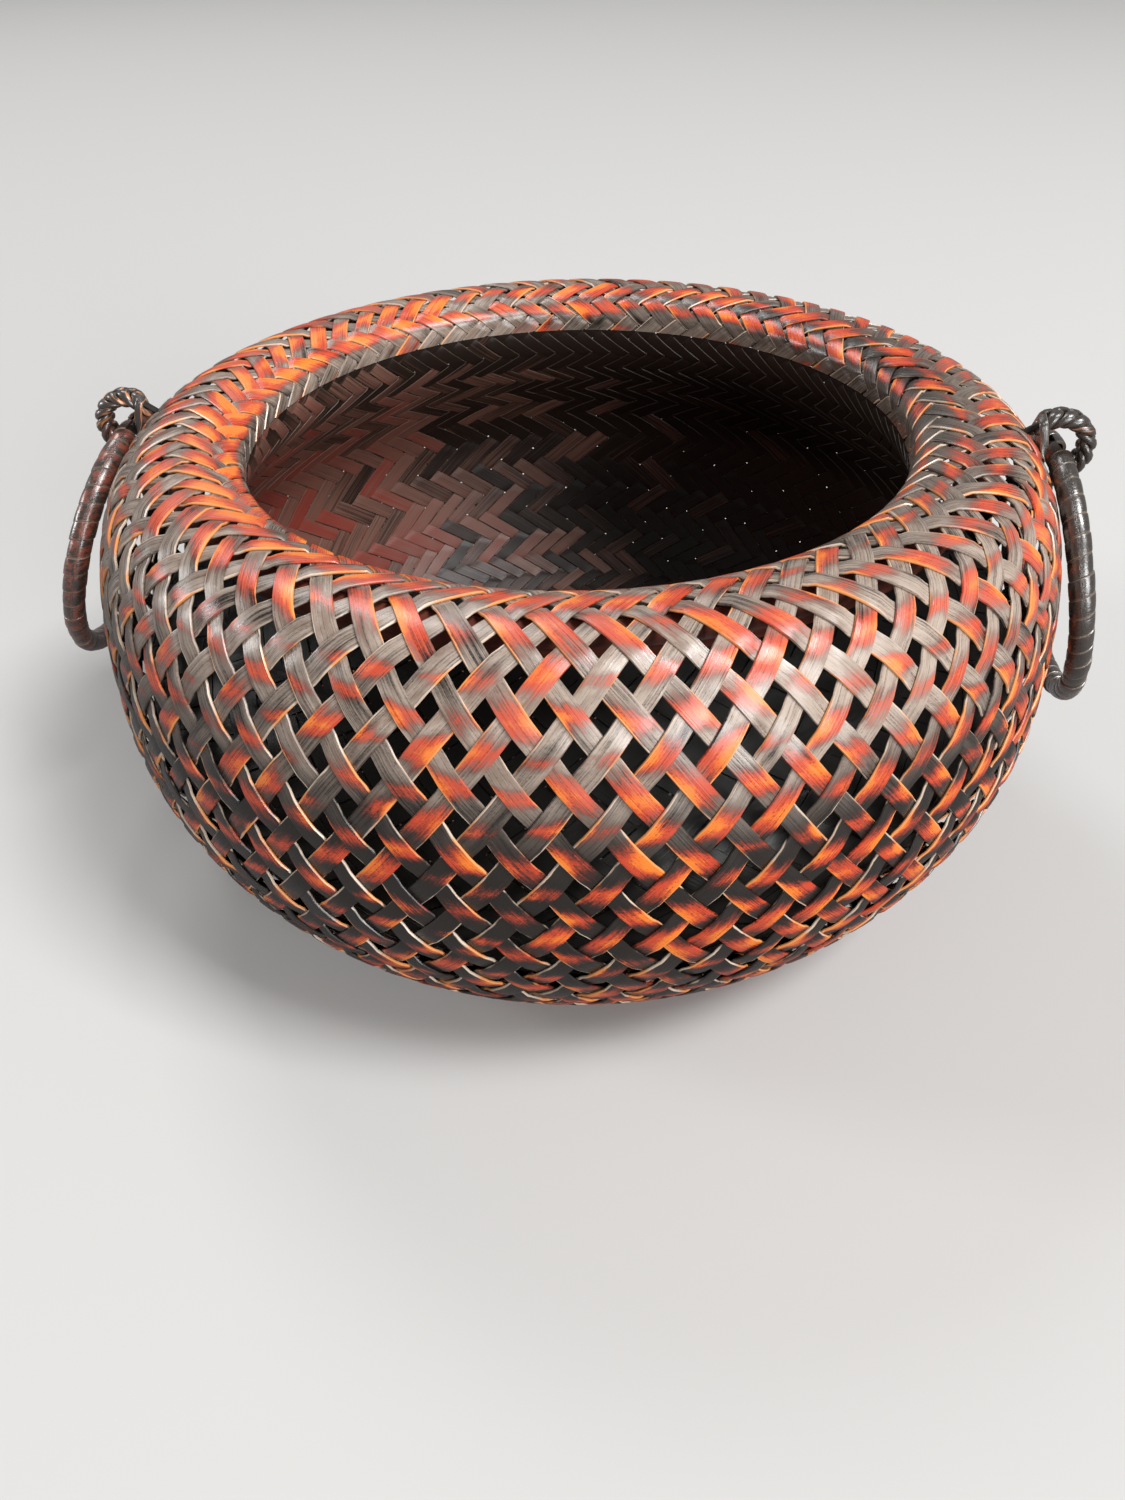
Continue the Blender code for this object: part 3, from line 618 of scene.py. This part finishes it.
def strip_lacquer(name):
    """Lacquer on an outer strip, from the ground up.

    Charcoal lies below, partly the lacquer's own colour and partly painted shade, and grey and umber above,
    the grey partly dust and partly painted sheen. A worn patch on each stretch that shows on top goes from
    maroon through red to orange. A pale bloom, partly dust and partly painted sheen, lies over the shoulder,
    dark pits follow the fibres, and bamboo is laid bare along parts of the edges, whose other parts are pale,
    partly rubbed and partly painted glints."""
    shades = colours()
    material, tree, surface = new_material(name)
    fibres, blotch, cloud, speckle = [strip_pattern(tree, *kind) for kind in (FIBRES, BLOTCH, CLOUD, SPECKLE)]
    place = add_node(tree, "TexCoord").outputs["Object"]
    height = add_node(tree, "SeparateXYZ", [("Vector", place)]).outputs["Z"]
    # Height ramp: the paler grey above is partly painted sheen where the key lamp falls, and the charcoal
    # below is partly painted shade.
    upper = Number(tree, height).ramp(*UPPER_HEIGHTS)
    above = upper * value_of(tree, "dusty")
    across = value_of(tree, "across")
    leaning = across * value_of(tree, "side")
    worn = value_of(tree, "patch") + value_of(tree, "wear").swing(0.9) + upper * 0.20 + leaning * 0.32
    worn = worn + blotch.swing(1.5) + fibres.swing(1.0) + speckle.swing(1.0) + -0.21
    hot = worn + leaning * 0.75 + upper * -0.18 + 0.18
    grey = mix((cloud + blotch.swing(0.6)).ramp(*BROWNER) * upper, shades.grey, shades.umber)
    dusty = above * (cloud.swing(2.6) + fibres.swing(1.6) + speckle.swing(0.8) + 0.64)
    colour = mix(dusty, shades.charcoal, grey)
    colour = mix(worn.ramp(*MAROON) * 0.80, colour, shades.maroon)
    colour = mix(worn.ramp(*RED), colour, shades.red)
    colour = mix(hot.ramp(*ORANGE), colour, shades.orange)
    # Pale whitening of the top: partly dust bloom and partly painted sheen.
    bloom = (cloud + fibres.swing(1.0)).ramp(*BLOOM_AND_SHEEN) * (worn.ramp(*RED) * -0.20 + 0.32)
    colour = mix(above * bloom, colour, shades.dust)
    pits = (speckle + fibres.swing(0.8)).ramp(*PITS) * (upper * -0.35 + 0.65)
    colour = mix(pits, colour, shades.charcoal)
    edge = across.math("ABSOLUTE") + blotch.swing(0.36) + leaning * 0.15
    # Pale edges: partly rubbed bamboo and partly painted glints.
    bare = mix(worn.ramp(*BARE), shades.rubbed_edge_and_glint, shades.bare_edge)
    colour = mix(edge.ramp(*EDGES) * 0.9, colour, bare)
    relief = (fibres + speckle.swing(0.20), 0.8, FIBRE_DEPTH)
    fill_surface(surface, colour, fibres.swing(0.45) + 0.30, relief, Specular_IOR_Level=0.75)
    return material


def lining_lacquer(name):
    """Dull lacquer on an inner strip, each stretch browner or redder than the next, and more so on the left
    wall as painted light and less on the right as painted shade; paler edges are partly painted glints, and
    the face that looks outwards is near black, painted shade."""
    shades = colours()
    material, tree, surface = new_material(name)
    fibres = strip_pattern(tree, *LINING_FIBRES)
    # On the inner wall the wear value's side term is painted light on the left wall and painted shade on the
    # right.
    tone = value_of(tree, "wear") + fibres.swing(1.7)
    colour = mix(tone.ramp(*LINING_BROWN), shades.lining, shades.lining_brown)
    colour = mix(tone.ramp(*LINING_RED), colour, shades.lining_red)
    edge = value_of(tree, "across").math("ABSOLUTE").ramp(*LINING_EDGES)
    # Pale edges, partly painted glints.
    colour = mix(edge * 0.45, colour, shades.rubbed_edge_and_glint)
    # The outward face, seen through the gaps, is painted shade.
    colour = mix(value_of(tree, "up").ramp(*OUTWARD), shades.shaded_lining_back, colour)
    relief = (fibres, 0.8, FIBRE_DEPTH)
    fill_surface(surface, colour, fibres.swing(0.25) + 0.42, relief, Specular_IOR_Level=0.35)
    return material


def cane_lacquer(name, redness, bareness):
    """Glossy near-black cane with fine fibres: a share of it redder, small spots bare, and paler edges that
    are partly painted glints.
    """
    shades = colours()
    material, tree, surface = new_material(name)
    fibres, cloud, spots = [strip_pattern(tree, *kind) for kind in (CANE_FIBRES, CANE_CLOUD, CANE_SPOTS)]
    redder = (cloud + fibres.swing(0.5)).ramp(0.68 - redness, 0.96 - redness)
    colour = mix(redder, shades.cane, shades.cane_red)
    colour = mix(spots.ramp(0.74 - bareness, 0.82 - bareness), colour, shades.cane_bare)
    edge = value_of(tree, "across").math("ABSOLUTE").ramp(*CANE_EDGES)
    # Pale seam edges on the cane, partly painted glints.
    colour = mix(edge * 0.26, colour, shades.rubbed_edge_and_glint)
    relief = (fibres + spots.swing(1.5), 0.7, 2 * FIBRE_DEPTH)
    fill_surface(surface, colour, fibres.swing(0.35) + 0.30, relief, Specular_IOR_Level=1.0, Coat_Weight=0.8,
                 Coat_Roughness=0.25)
    return material


def plain_bamboo(name, colour, scale):
    """Dark bamboo for a carried-over hoop, slat or core: streaks along one way."""
    material, tree, surface = new_material(name)
    place = add_node(tree, "TexCoord").outputs["Object"]
    scaled = add_node(tree, "Mapping", (("Vector", place), ("Scale", scale))).outputs["Vector"]
    streaks = noise(tree, scaled, 4.0)
    shown = mix(streaks.ramp(0.3, 0.7), [value * 0.45 for value in colour], colour)
    fill_surface(surface, shown, streaks * 0.3 + 0.35, (streaks, 0.3, 4 * FIBRE_DEPTH))
    return material


def dress_node(node, material):
    """Give a carried-over node a material."""
    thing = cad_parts[node]
    thing.data.materials.clear()
    thing.data.materials.append(material)


# Rows of crossings where a lug's two ends enter the wall, and how far its lower leg reaches round a ring.
LUG_ROWS = (4.86, 6.86)
LUG_REACH = 0.0031


def lug_frame(wall):
    """Middle of a lug's two holes in the wall, its outward and downward directions, and half its span."""
    ends = [np.array(wall.place(wall.arc_of_row(row), 0.0)) for row in LUG_ROWS]
    down = ends[1] - ends[0]
    half = float(np.hypot(*down)) / 2
    down = down / (2 * half)
    return (ends[0] + ends[1]) / 2, np.array([-down[1], down[0]]), down, half


# Corners round a cane band's section: half widths across it, and rise over its face in metres. How much its
# face rises and falls from turn to turn, and the limits of that.
BAND_ACROSS = np.array([-1.0, -0.93, -0.6, 0.0, 0.6, 0.93, 1.0, 0.95, -0.95])[None, :]
BAND_RISE = np.array([-42, -16, -4, 4, 5, 0, -30, -110, -110])[None] * 1e-5
TURN_RISE = 0.00026
TURN_LIMITS = (-0.0006, 0.0001)


def wound_ring(radius, tube, turns, per_turn, band, rng):
    """Flat cane wound round a ring that hangs from the origin in the YZ plane, its turns close together.

    The cane's middle goes round the ring evenly, and its edges lie half the band's share of a turn's advance
    before and after. Its face rises by a small random amount from turn to turn, eased between them. Returns
    the points as stations by corners, and each station's share of the ring and number of its turn."""
    share = np.linspace(0.0, 1.0, turns * per_turn + 1)[:, None]
    turn = share * turns
    uneven = np.interp(turn, np.arange(turns + 1), rng.normal(0.0, TURN_RISE, turns + 1))
    here = share * (1 - band / turns) + (1 + BAND_ACROSS) * band / (2 * turns)
    angle, phase = TWO_PI * here.clip(0.0, 1.0), TWO_PI * turn
    reach = tube - BAND_RISE.max() + BAND_RISE + uneven.clip(*TURN_LIMITS)
    out = radius + reach * np.cos(phase)
    points = [reach * np.sin(phase), out * np.sin(angle), out * np.cos(angle) - radius]
    return np.stack(points, axis=-1), share, np.floor(turn)


def ring_pivot(wall, size):
    """Middle of a ring's tube where it hangs in its lug: off the wall by the tube and the wall's swell, and
    down to the lug's lower leg."""
    middle, outward, down, half = lug_frame(wall)
    arcs = np.linspace(*wall.arc_of_row(LUG_ROWS), 60)
    swell = float(((np.stack(wall.place(arcs, 0.0), axis=1) - middle) @ outward).max())
    place = middle + (swell + size.ring_tube + size.clearance) * outward
    place = place + (half - LUG_REACH - size.ring_tube - size.clearance) * down
    return Vector((place[0], 0.0, place[1]))


# How much narrower the outer strips are round the shoulder's top, where and how far.
NARROWING, NARROW_MIDDLE, NARROW_SPREAD = 0.09, 0.022, 0.016
# Share of the pitch that an inner strip covers.
LINING_COVER = 0.955


class BASKET_OT_outer_strips(Operator):
    """Plait the outer wall from strips that cross over and under, from the neck over the rim to the foot"""
    bl_idname = "basket.outer_strips"
    bl_label = "Outer strips"

    def execute(self, context):
        size = sizes()
        wall = WallLine(size, size.strip_count)
        rng = np.random.default_rng(11)
        material = strip_lacquer("outer_lacquer")

        def width(arc):
            return size.strip_width * (1 - NARROWING * hump(arc, NARROW_MIDDLE, NARROW_SPREAD))

        for lean, node in ((1, "right_leaning_strips"), (-1, "left_leaning_strips")):
            name = node.replace("strips", "plait")
            piece = plaited_strips(name, wall, lean, -size.neck_band, wall.end, width, size.strip_thickness,
                                   rng, per_row=5, loose=0.00025, wear_and_shade_side=(-35.0, 0.44))
            shade(piece, material)
            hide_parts(node)
            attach(piece, "basket")
        return {"FINISHED"}


class BASKET_OT_inner_weave(Operator):
    """Plait the close inner wall from the floor up to the neck"""
    bl_idname = "basket.inner_weave"
    bl_label = "Inner weave"

    def execute(self, context):
        size = sizes()
        wall = WallLine(size, size.lining_count)
        rng = np.random.default_rng(23)
        material = lining_lacquer("inner_lacquer")

        def width(arc):
            radius = wall.read(arc, wall.points[:, 0])
            return TWO_PI * radius / wall.count * np.sin(wall.read(arc, wall.climb)) * LINING_COVER

        for lean, name in ((1, "inner_plait_right"), (-1, "inner_plait_left")):
            # The inner wall's favoured side is painted light on the left wall and painted shade on the right.
            piece = plaited_strips(name, wall, lean, wall.start, -size.neck_band - size.clearance, width,
                                   size.lining_thickness, rng, per_row=3, loose=0.0001, wear_and_shade_side=(205.0, 0.80),
                                   state=lining_on_top, stretch=lining_middle, section=LINING_SECTION)
            shade(piece, material)
            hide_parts("inner_basket")
            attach(piece, "basket")
        return {"FINISHED"}


# The foot hoop beyond and inside the foot's radius, and its rounded edge; how far inside that radius the
# inner floor and the base end, and how high the base's plait lies over the hoop.
HOOP_OUTSIDE, HOOP_INSIDE, HOOP_EDGE = 0.0027, 0.0063, 0.0012
FLOOR_INSET, BASE_INSET, BASE_RISE = 0.0065, 0.0011, 0.0015


class BASKET_OT_base(Operator):
    """Finish the hoops, and plait the inner floor and the base over its slats"""
    bl_idname = "basket.base"
    bl_label = "Hoops, floor and base"

    def execute(self, context):
        size, shades = sizes(), colours()
        dress_node("rim_hoop", plain_bamboo("hoop_bamboo", shades.cane_red, (60.0, 60.0, 400.0)))
        slats_x = plain_bamboo("slat_bamboo_x", shades.base, (30.0, 500.0, 300.0))
        slats_y = plain_bamboo("slat_bamboo_y", shades.base, (500.0, 30.0, 300.0))
        for number in (1, 2):
            dress_node(f"base_slat_x_{number}", slats_x)
            dress_node(f"base_slat_y_{number}", slats_y)
        outer, inner = size.foot_radius + HOOP_OUTSIDE, size.foot_radius - HOOP_INSIDE
        edge, top = HOOP_EDGE, size.foot_height
        soft = edge * 0.3
        radii = np.array([inner, outer - edge, outer - soft, outer, outer, outer - soft, outer - edge, inner])
        heights = np.array([top, top, top - soft, top - edge, edge, soft, 0.0, 0.0])
        angle = np.linspace(0.0, TWO_PI, 180, endpoint=False)[:, None]
        points = np.stack([radii * np.cos(angle), radii * np.sin(angle), heights + 0 * angle], axis=-1)
        hoop = tube_piece("foot_hoop_ring", points[None], closed=True)
        shade(hoop, plain_bamboo("foot_bamboo", shades.cane_red, (60.0, 60.0, 900.0)), 50.0)
        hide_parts("foot_hoop")
        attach(hoop, "basket")
        rng = np.random.default_rng(57)
        lining = lining_lacquer("floor_lacquer")
        for way, tag in ((1, "a"), (-1, "b")):
            for name, inset, rise, node, slot in (
                    ("inner_floor", FLOOR_INSET, FLOOR_RISE, "inner_basket", "inner_weave"),
                    ("base_plait", BASE_INSET, BASE_RISE, "base_plait", "base")):
                piece = flat_plait(f"{name}_{tag}", math.pi / 4, size.foot_radius - inset, top + rise,
                                   size.lining_pitch, size.floor_thickness, way, rng)
                shade(piece, lining)
                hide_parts(node)
                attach(piece, "basket")
        return {"FINISHED"}


def lug_line(wall, size):
    """Line of a lug's arch from the wall out, round and back, and its whole length.

    At a length from the upper hole the line gives the place and its outward and sideways directions."""
    middle, outward, down, half = lug_frame(wall)
    leg = size.lug_standoff
    whole = 2 * leg + math.pi * half

    def in_space(flat):
        return np.stack([flat[..., 0], 0 * flat[..., 0], flat[..., 1]], axis=-1)

    def line(length):
        angle = (np.clip((length - leg) / half, 0.0, math.pi) - math.pi / 2)[..., None]
        out = np.minimum(np.minimum(length, whole - length), leg)[..., None] + half * np.cos(angle)
        place = middle + out * outward + half * np.sin(angle) * down
        side = np.cos(angle) * outward + np.sin(angle) * down
        return in_space(place), in_space(side), np.array([0.0, 1.0, 0.0])
    return line, whole


# A lug's bends: crest of the outer face, corners round a section, stations, how far and how soon their ends
# sink, slant and half width in pitches, and how far they differ in place, width and two sizes.
LUG_CREST = 0.0005
KNOB_WIDE = np.array([0.0, 0.62, 0.96, 1.0, 0.72, 0.0, -0.72, -1.0, -0.96, -0.62])[None, None, :]
KNOB_THICK = np.array([1.0, 0.86, 0.42, -0.1, -0.75, -1.0, -0.75, -0.1, 0.42, 0.86])[None, None, :]
KNOB_STATIONS = 15
END_SINK, END_SPREAD = 0.42, 0.40
KNOB_SLANT, KNOB_WIDTH = 0.75, 0.47
UNEVEN = np.array((0.0002, 0.04, 0.0003, 0.0001))[:, None, None, None]


def lug_knobs(name, wall, size, knobs, rng):
    """Two rows of short bends of cane plaited round a lug, which meet in chevrons on its outer face.

    Bend number k goes half way round an oval from the outer face's middle, over one edge, to the inner
    face's middle. Its ends sink inwards, and it slants along the lug by the cosine of its angle."""
    line, whole = lug_line(wall, size)
    pitch = (whole - 0.001) / (knobs + 1.2)
    number = np.arange(2 * knobs)[:, None, None]
    hand = np.where(number % 2 == 0, 1.0, -1.0)
    turn = np.linspace(0.0, math.pi, KNOB_STATIONS)[None, :, None]
    ahead, wider, out_wide, out_deep = UNEVEN * rng.uniform(-1, 1, (4, 2 * knobs, 1, 1))
    sink = 1 - END_SINK * (hump(turn, 0.0, END_SPREAD) + hump(turn, math.pi, END_SPREAD))
    length = 0.0005 + (number + 2.0) * pitch / 2 + ahead + pitch * KNOB_SLANT * np.cos(turn)
    length = length + KNOB_WIDE * pitch * (KNOB_WIDTH + wider)
    thick = size.lug_cane * KNOB_THICK
    wide = (size.lug_width / 2 - size.lug_cane + out_wide) * sink + thick
    deep = (size.lug_tube - size.lug_cane + out_deep) * sink + thick + LUG_CREST * np.cos(turn).clip(0)
    place, outward, sideways = line(np.clip(length, 0.0, whole))
    points = (place + (deep * np.cos(turn))[..., None] * outward
              + (hand * wide * np.sin(turn))[..., None] * sideways)
    piece = tube_piece(name, points)
    add_values(piece, length.shape, across=KNOB_WIDE * 0.95, along=turn * 0.004, seed=number * 1.37)
    return piece


def strand(name, places, normals, width, thick):
    """Flat strand with rounded edges laid along a few places, its bends eased by averaging neighbours."""
    places, normals = np.array(places), np.array(normals)
    share = np.linspace(0.0, len(places) - 1.0, 24)
    knot = np.arange(len(places))
    middle, up = [np.stack([np.interp(share, knot, column) for column in rows.T], axis=1)
                  for rows in (places, normals)]
    for _ in range(4):
        middle[1:-1] = 0.25 * middle[:-2] + 0.5 * middle[1:-1] + 0.25 * middle[2:]
    ahead = np.gradient(middle, axis=0)
    across = np.cross(ahead, up)
    across /= np.linalg.norm(across, axis=1)[:, None]
    up = np.cross(across, ahead)
    up /= np.linalg.norm(up, axis=1)[:, None]
    points = (middle[:, None] + KNOB_WIDE[0, :, :, None] * width / 2 * across[:, None]
              + KNOB_THICK[0, :, :, None] * thick / 2 * up[:, None])
    piece = tube_piece(name, points[None])
    add_values(piece, points.shape[:2], across=KNOB_WIDE[0], along=running_length(middle)[:, None], seed=0.0)
    return piece


class BASKET_OT_lugs(Operator):
    """Plait the two lugs in which the rings hang, and tie them to the wall"""
    bl_idname = "basket.lugs"
    bl_label = "Lugs"

    def execute(self, context):
        size = sizes()
        wall = WallLine(size, size.strip_count)
        middle, outward, down, half = lug_frame(wall)
        cores = plain_bamboo("lug_core_cane", colours().cane, (200.0, 200.0, 200.0))

        def spot(out, along, side):
            place = middle + out * outward + along * down
            return place[0], side, place[1]

        up = (outward[0], 0.0, outward[1])
        for number, (side, angle) in enumerate(SIDES.items()):
            dress_node(f"{side}_lug_core", cores)
            rng = np.random.default_rng(31 + number)
            front = -1.0 if side == "right" else 1.0
            material = cane_lacquer(f"{side}_lug_cane", 0.05 + 0.1 * number, 0.04 + 0.12 * number)
            knobs = lug_knobs(f"{side}_lug_plait", wall, size, 9, rng)
            edge = size.lug_width / 2
            tie = strand(f"{side}_lug_tie",
                         [spot(0.0056, -half - 0.0030, front * 0.0010),
                          spot(0.0050, -half - 0.0016, front * edge),
                          spot(0.0030, -half + 0.0035, front * (edge + 0.0012)),
                          spot(0.0009, -half + 0.0090, front * (edge + 0.0016))],
                         [(-down[0], 0.0, -down[1]), (0.0, front, 0.0), (0.0, front, 0.0), up],
                         size.tie_width, size.lug_cane * 0.6)
            for piece in (knobs, tie):
                piece.data.transform(Matrix.Rotation(angle, 4, "Z"))
                shade(piece, material, 60.0)
                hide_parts(f"{side}_lug_winding")
                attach(piece, "basket")
        return {"FINISHED"}


class BASKET_OT_rings(Operator):
    """Wind the two ring handles"""
    bl_idname = "basket.rings"
    bl_label = "Ring handles"

    def execute(self, context):
        size = sizes()
        wall = WallLine(size, size.strip_count)
        pivot = ring_pivot(wall, size)
        cores = plain_bamboo("ring_core_cane", colours().cane, (200.0, 200.0, 200.0))
        for side, angle in SIDES.items():
            dress_node(f"{side}_ring_core", cores)
            rng = np.random.default_rng(41 + len(side))
            points, share, turn = wound_ring(size.ring_radius, size.ring_tube, size.ring_turns, per_turn=20,
                                             band=0.985, rng=rng)
            lean = Matrix.Translation(pivot) @ Matrix.Rotation(-math.radians(LEANS[side]), 4, "Y")
            material = cane_lacquer(f"{side}_ring_cane", 0.0 if side == "right" else 0.30, -0.05)
            piece = tube_piece(f"{side}_ring_cane", points[None])
            piece.data.transform(Matrix.Rotation(angle, 4, "Z") @ lean)
            add_values(piece, points.shape[:2], across=BAND_ACROSS, along=share * 4.0, seed=turn)
            shade(piece, material, 40.0)
            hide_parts(f"{side}_ring_winding")
            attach(piece, f"{side}_ring")
        return {"FINISHED"}


# Each lamp's name, angle round and over the basket in degrees, side in metres and power.
LAMPS = (("key_lamp", -25.0, 56.0, 1.4, 168.0), ("front_lamp", -52.0, 16.0, 2.0, 150.0),
         ("left_lamp", 180.0, 20.0, 1.0, 56.0), ("back_lamp", 122.0, 52.0, 1.4, 50.0))
LAMP_DISTANCE = 4.6
LAMP_AIM = (0.0, 0.0, 0.09)
WORLD_COLOUR = (1.0, 0.99, 0.97, 1.0)
WORLD_STRENGTH = 0.24
# Share of its own colour that the floor throws back, half its width and its level.
FLOOR_BOUNCE = 0.35
FLOOR_HALF = 9.0
FLOOR_LEVEL = -0.0005
# Camera: turn about the axis, pitch and roll in degrees, place before the turn, and focal length in heights
# of the picture.
CAMERA_TURN, CAMERA_PITCH, CAMERA_ROLL = 7.0, 39.171, -1.517
CAMERA_PLACE = (-0.00712, -0.35321, 0.29841)
CAMERA_FOCUS = 1127.0 / 1500.0


def photo_camera():
    """Camera at the photograph's viewing angle, from a place and turn fitted to the basket's outline."""
    pitch, roll = math.radians(CAMERA_PITCH), math.radians(CAMERA_ROLL)
    place = Matrix.Rotation(math.radians(CAMERA_TURN), 4, "Z") @ Matrix.Translation(CAMERA_PLACE)
    data = bpy.data.cameras.new("view_camera")
    data.sensor_fit = "VERTICAL"
    data.sensor_height = 36.0
    data.lens = CAMERA_FOCUS * data.sensor_height
    data.clip_start = 0.01
    camera = bpy.data.objects.new("view_camera", data)
    bpy.context.scene.collection.objects.link(camera)
    camera.matrix_world = (place @ Matrix.Rotation(math.pi / 2 - pitch, 4, "X")
                           @ Matrix.Rotation(roll, 4, "Z"))
    bpy.context.scene.camera = camera


def area_lamp(name, place, aim, size, power):
    """Square soft lamp that faces a point."""
    data = bpy.data.lights.new(name, "AREA")
    data.shape = "SQUARE"
    data.size = size
    data.energy = power
    lamp = bpy.data.objects.new(name, data)
    bpy.context.scene.collection.objects.link(lamp)
    lamp.location = place
    lamp.rotation_euler = (aim - place).to_track_quat("-Z", "Y").to_euler()


class BASKET_OT_stage(Operator):
    """Lay the floor, set the lamps and the camera"""
    bl_idname = "basket.stage"
    bl_label = "Stage"

    def execute(self, context):
        scene = bpy.context.scene
        material, tree, surface = new_material("floor")
        light = add_node(tree, "LightPath").outputs
        pale = colours().floor
        bounced = Number(tree, light["Is Diffuse Ray"]).math("MAXIMUM", light["Is Glossy Ray"])
        shown = mix(bounced, pale, [value * FLOOR_BOUNCE for value in pale])
        tree.links.new(shown, surface.inputs["Base Color"])
        surface.inputs["Roughness"].default_value = 0.9
        corners = np.array([(-1, -1), (1, -1), (1, 1), (-1, 1)]) * FLOOR_HALF
        points = np.column_stack([corners, np.full(4, FLOOR_LEVEL)])
        floor = build_mesh("floor", points, np.arange(4)[None])
        floor.data.materials.append(material)
        for name, compass, climb, size, power in LAMPS:
            turn = Matrix.Rotation(math.radians(compass), 3, "Z")
            way = turn @ Matrix.Rotation(-math.radians(climb), 3, "Y")
            centre = Vector(LAMP_AIM)
            area_lamp(name, centre + LAMP_DISTANCE * way.col[0], centre, size, power)
        world = bpy.data.worlds.new("studio")
        scene.world = world
        world.use_nodes = True
        sky = world.node_tree.nodes["Background"]
        sky.inputs["Color"].default_value = WORLD_COLOUR
        sky.inputs["Strength"].default_value = WORLD_STRENGTH
        scene.view_settings.view_transform = "Standard"
        photo_camera()
        return {"FINISHED"}


class BASKET_PT_panel(Panel):
    """Lists the steps that build the basket"""
    bl_idname = "BASKET_PT_panel"
    bl_label = "Plaited basket"
    bl_space_type = "VIEW_3D"
    bl_region_type = "UI"
    bl_category = "Basket"

    def draw(self, context):
        column = self.layout.column()
        for step in STEPS:
            column.operator(f"basket.{step}")


STEPS = ("outer_strips", "inner_weave", "base", "lugs", "rings", "stage")
CLASSES = (BasketSizes, BasketColours, BASKET_OT_outer_strips, BASKET_OT_inner_weave, BASKET_OT_base,
           BASKET_OT_lugs, BASKET_OT_rings, BASKET_OT_stage, BASKET_PT_panel)


def register():
    """Add the classes and the scene's settings."""
    for entry in CLASSES:
        bpy.utils.register_class(entry)
    bpy.types.Scene.basket_sizes = PointerProperty(type=BasketSizes)
    bpy.types.Scene.basket_colours = PointerProperty(type=BasketColours)


def unregister():
    """Remove the scene's settings and the classes."""
    del bpy.types.Scene.basket_colours
    del bpy.types.Scene.basket_sizes
    for entry in reversed(CLASSES):
        bpy.utils.unregister_class(entry)


def main():
    """Build every piece in order."""
    register()
    for step in STEPS:
        getattr(bpy.ops.basket, step)()


if __name__ == "__main__":
    main()
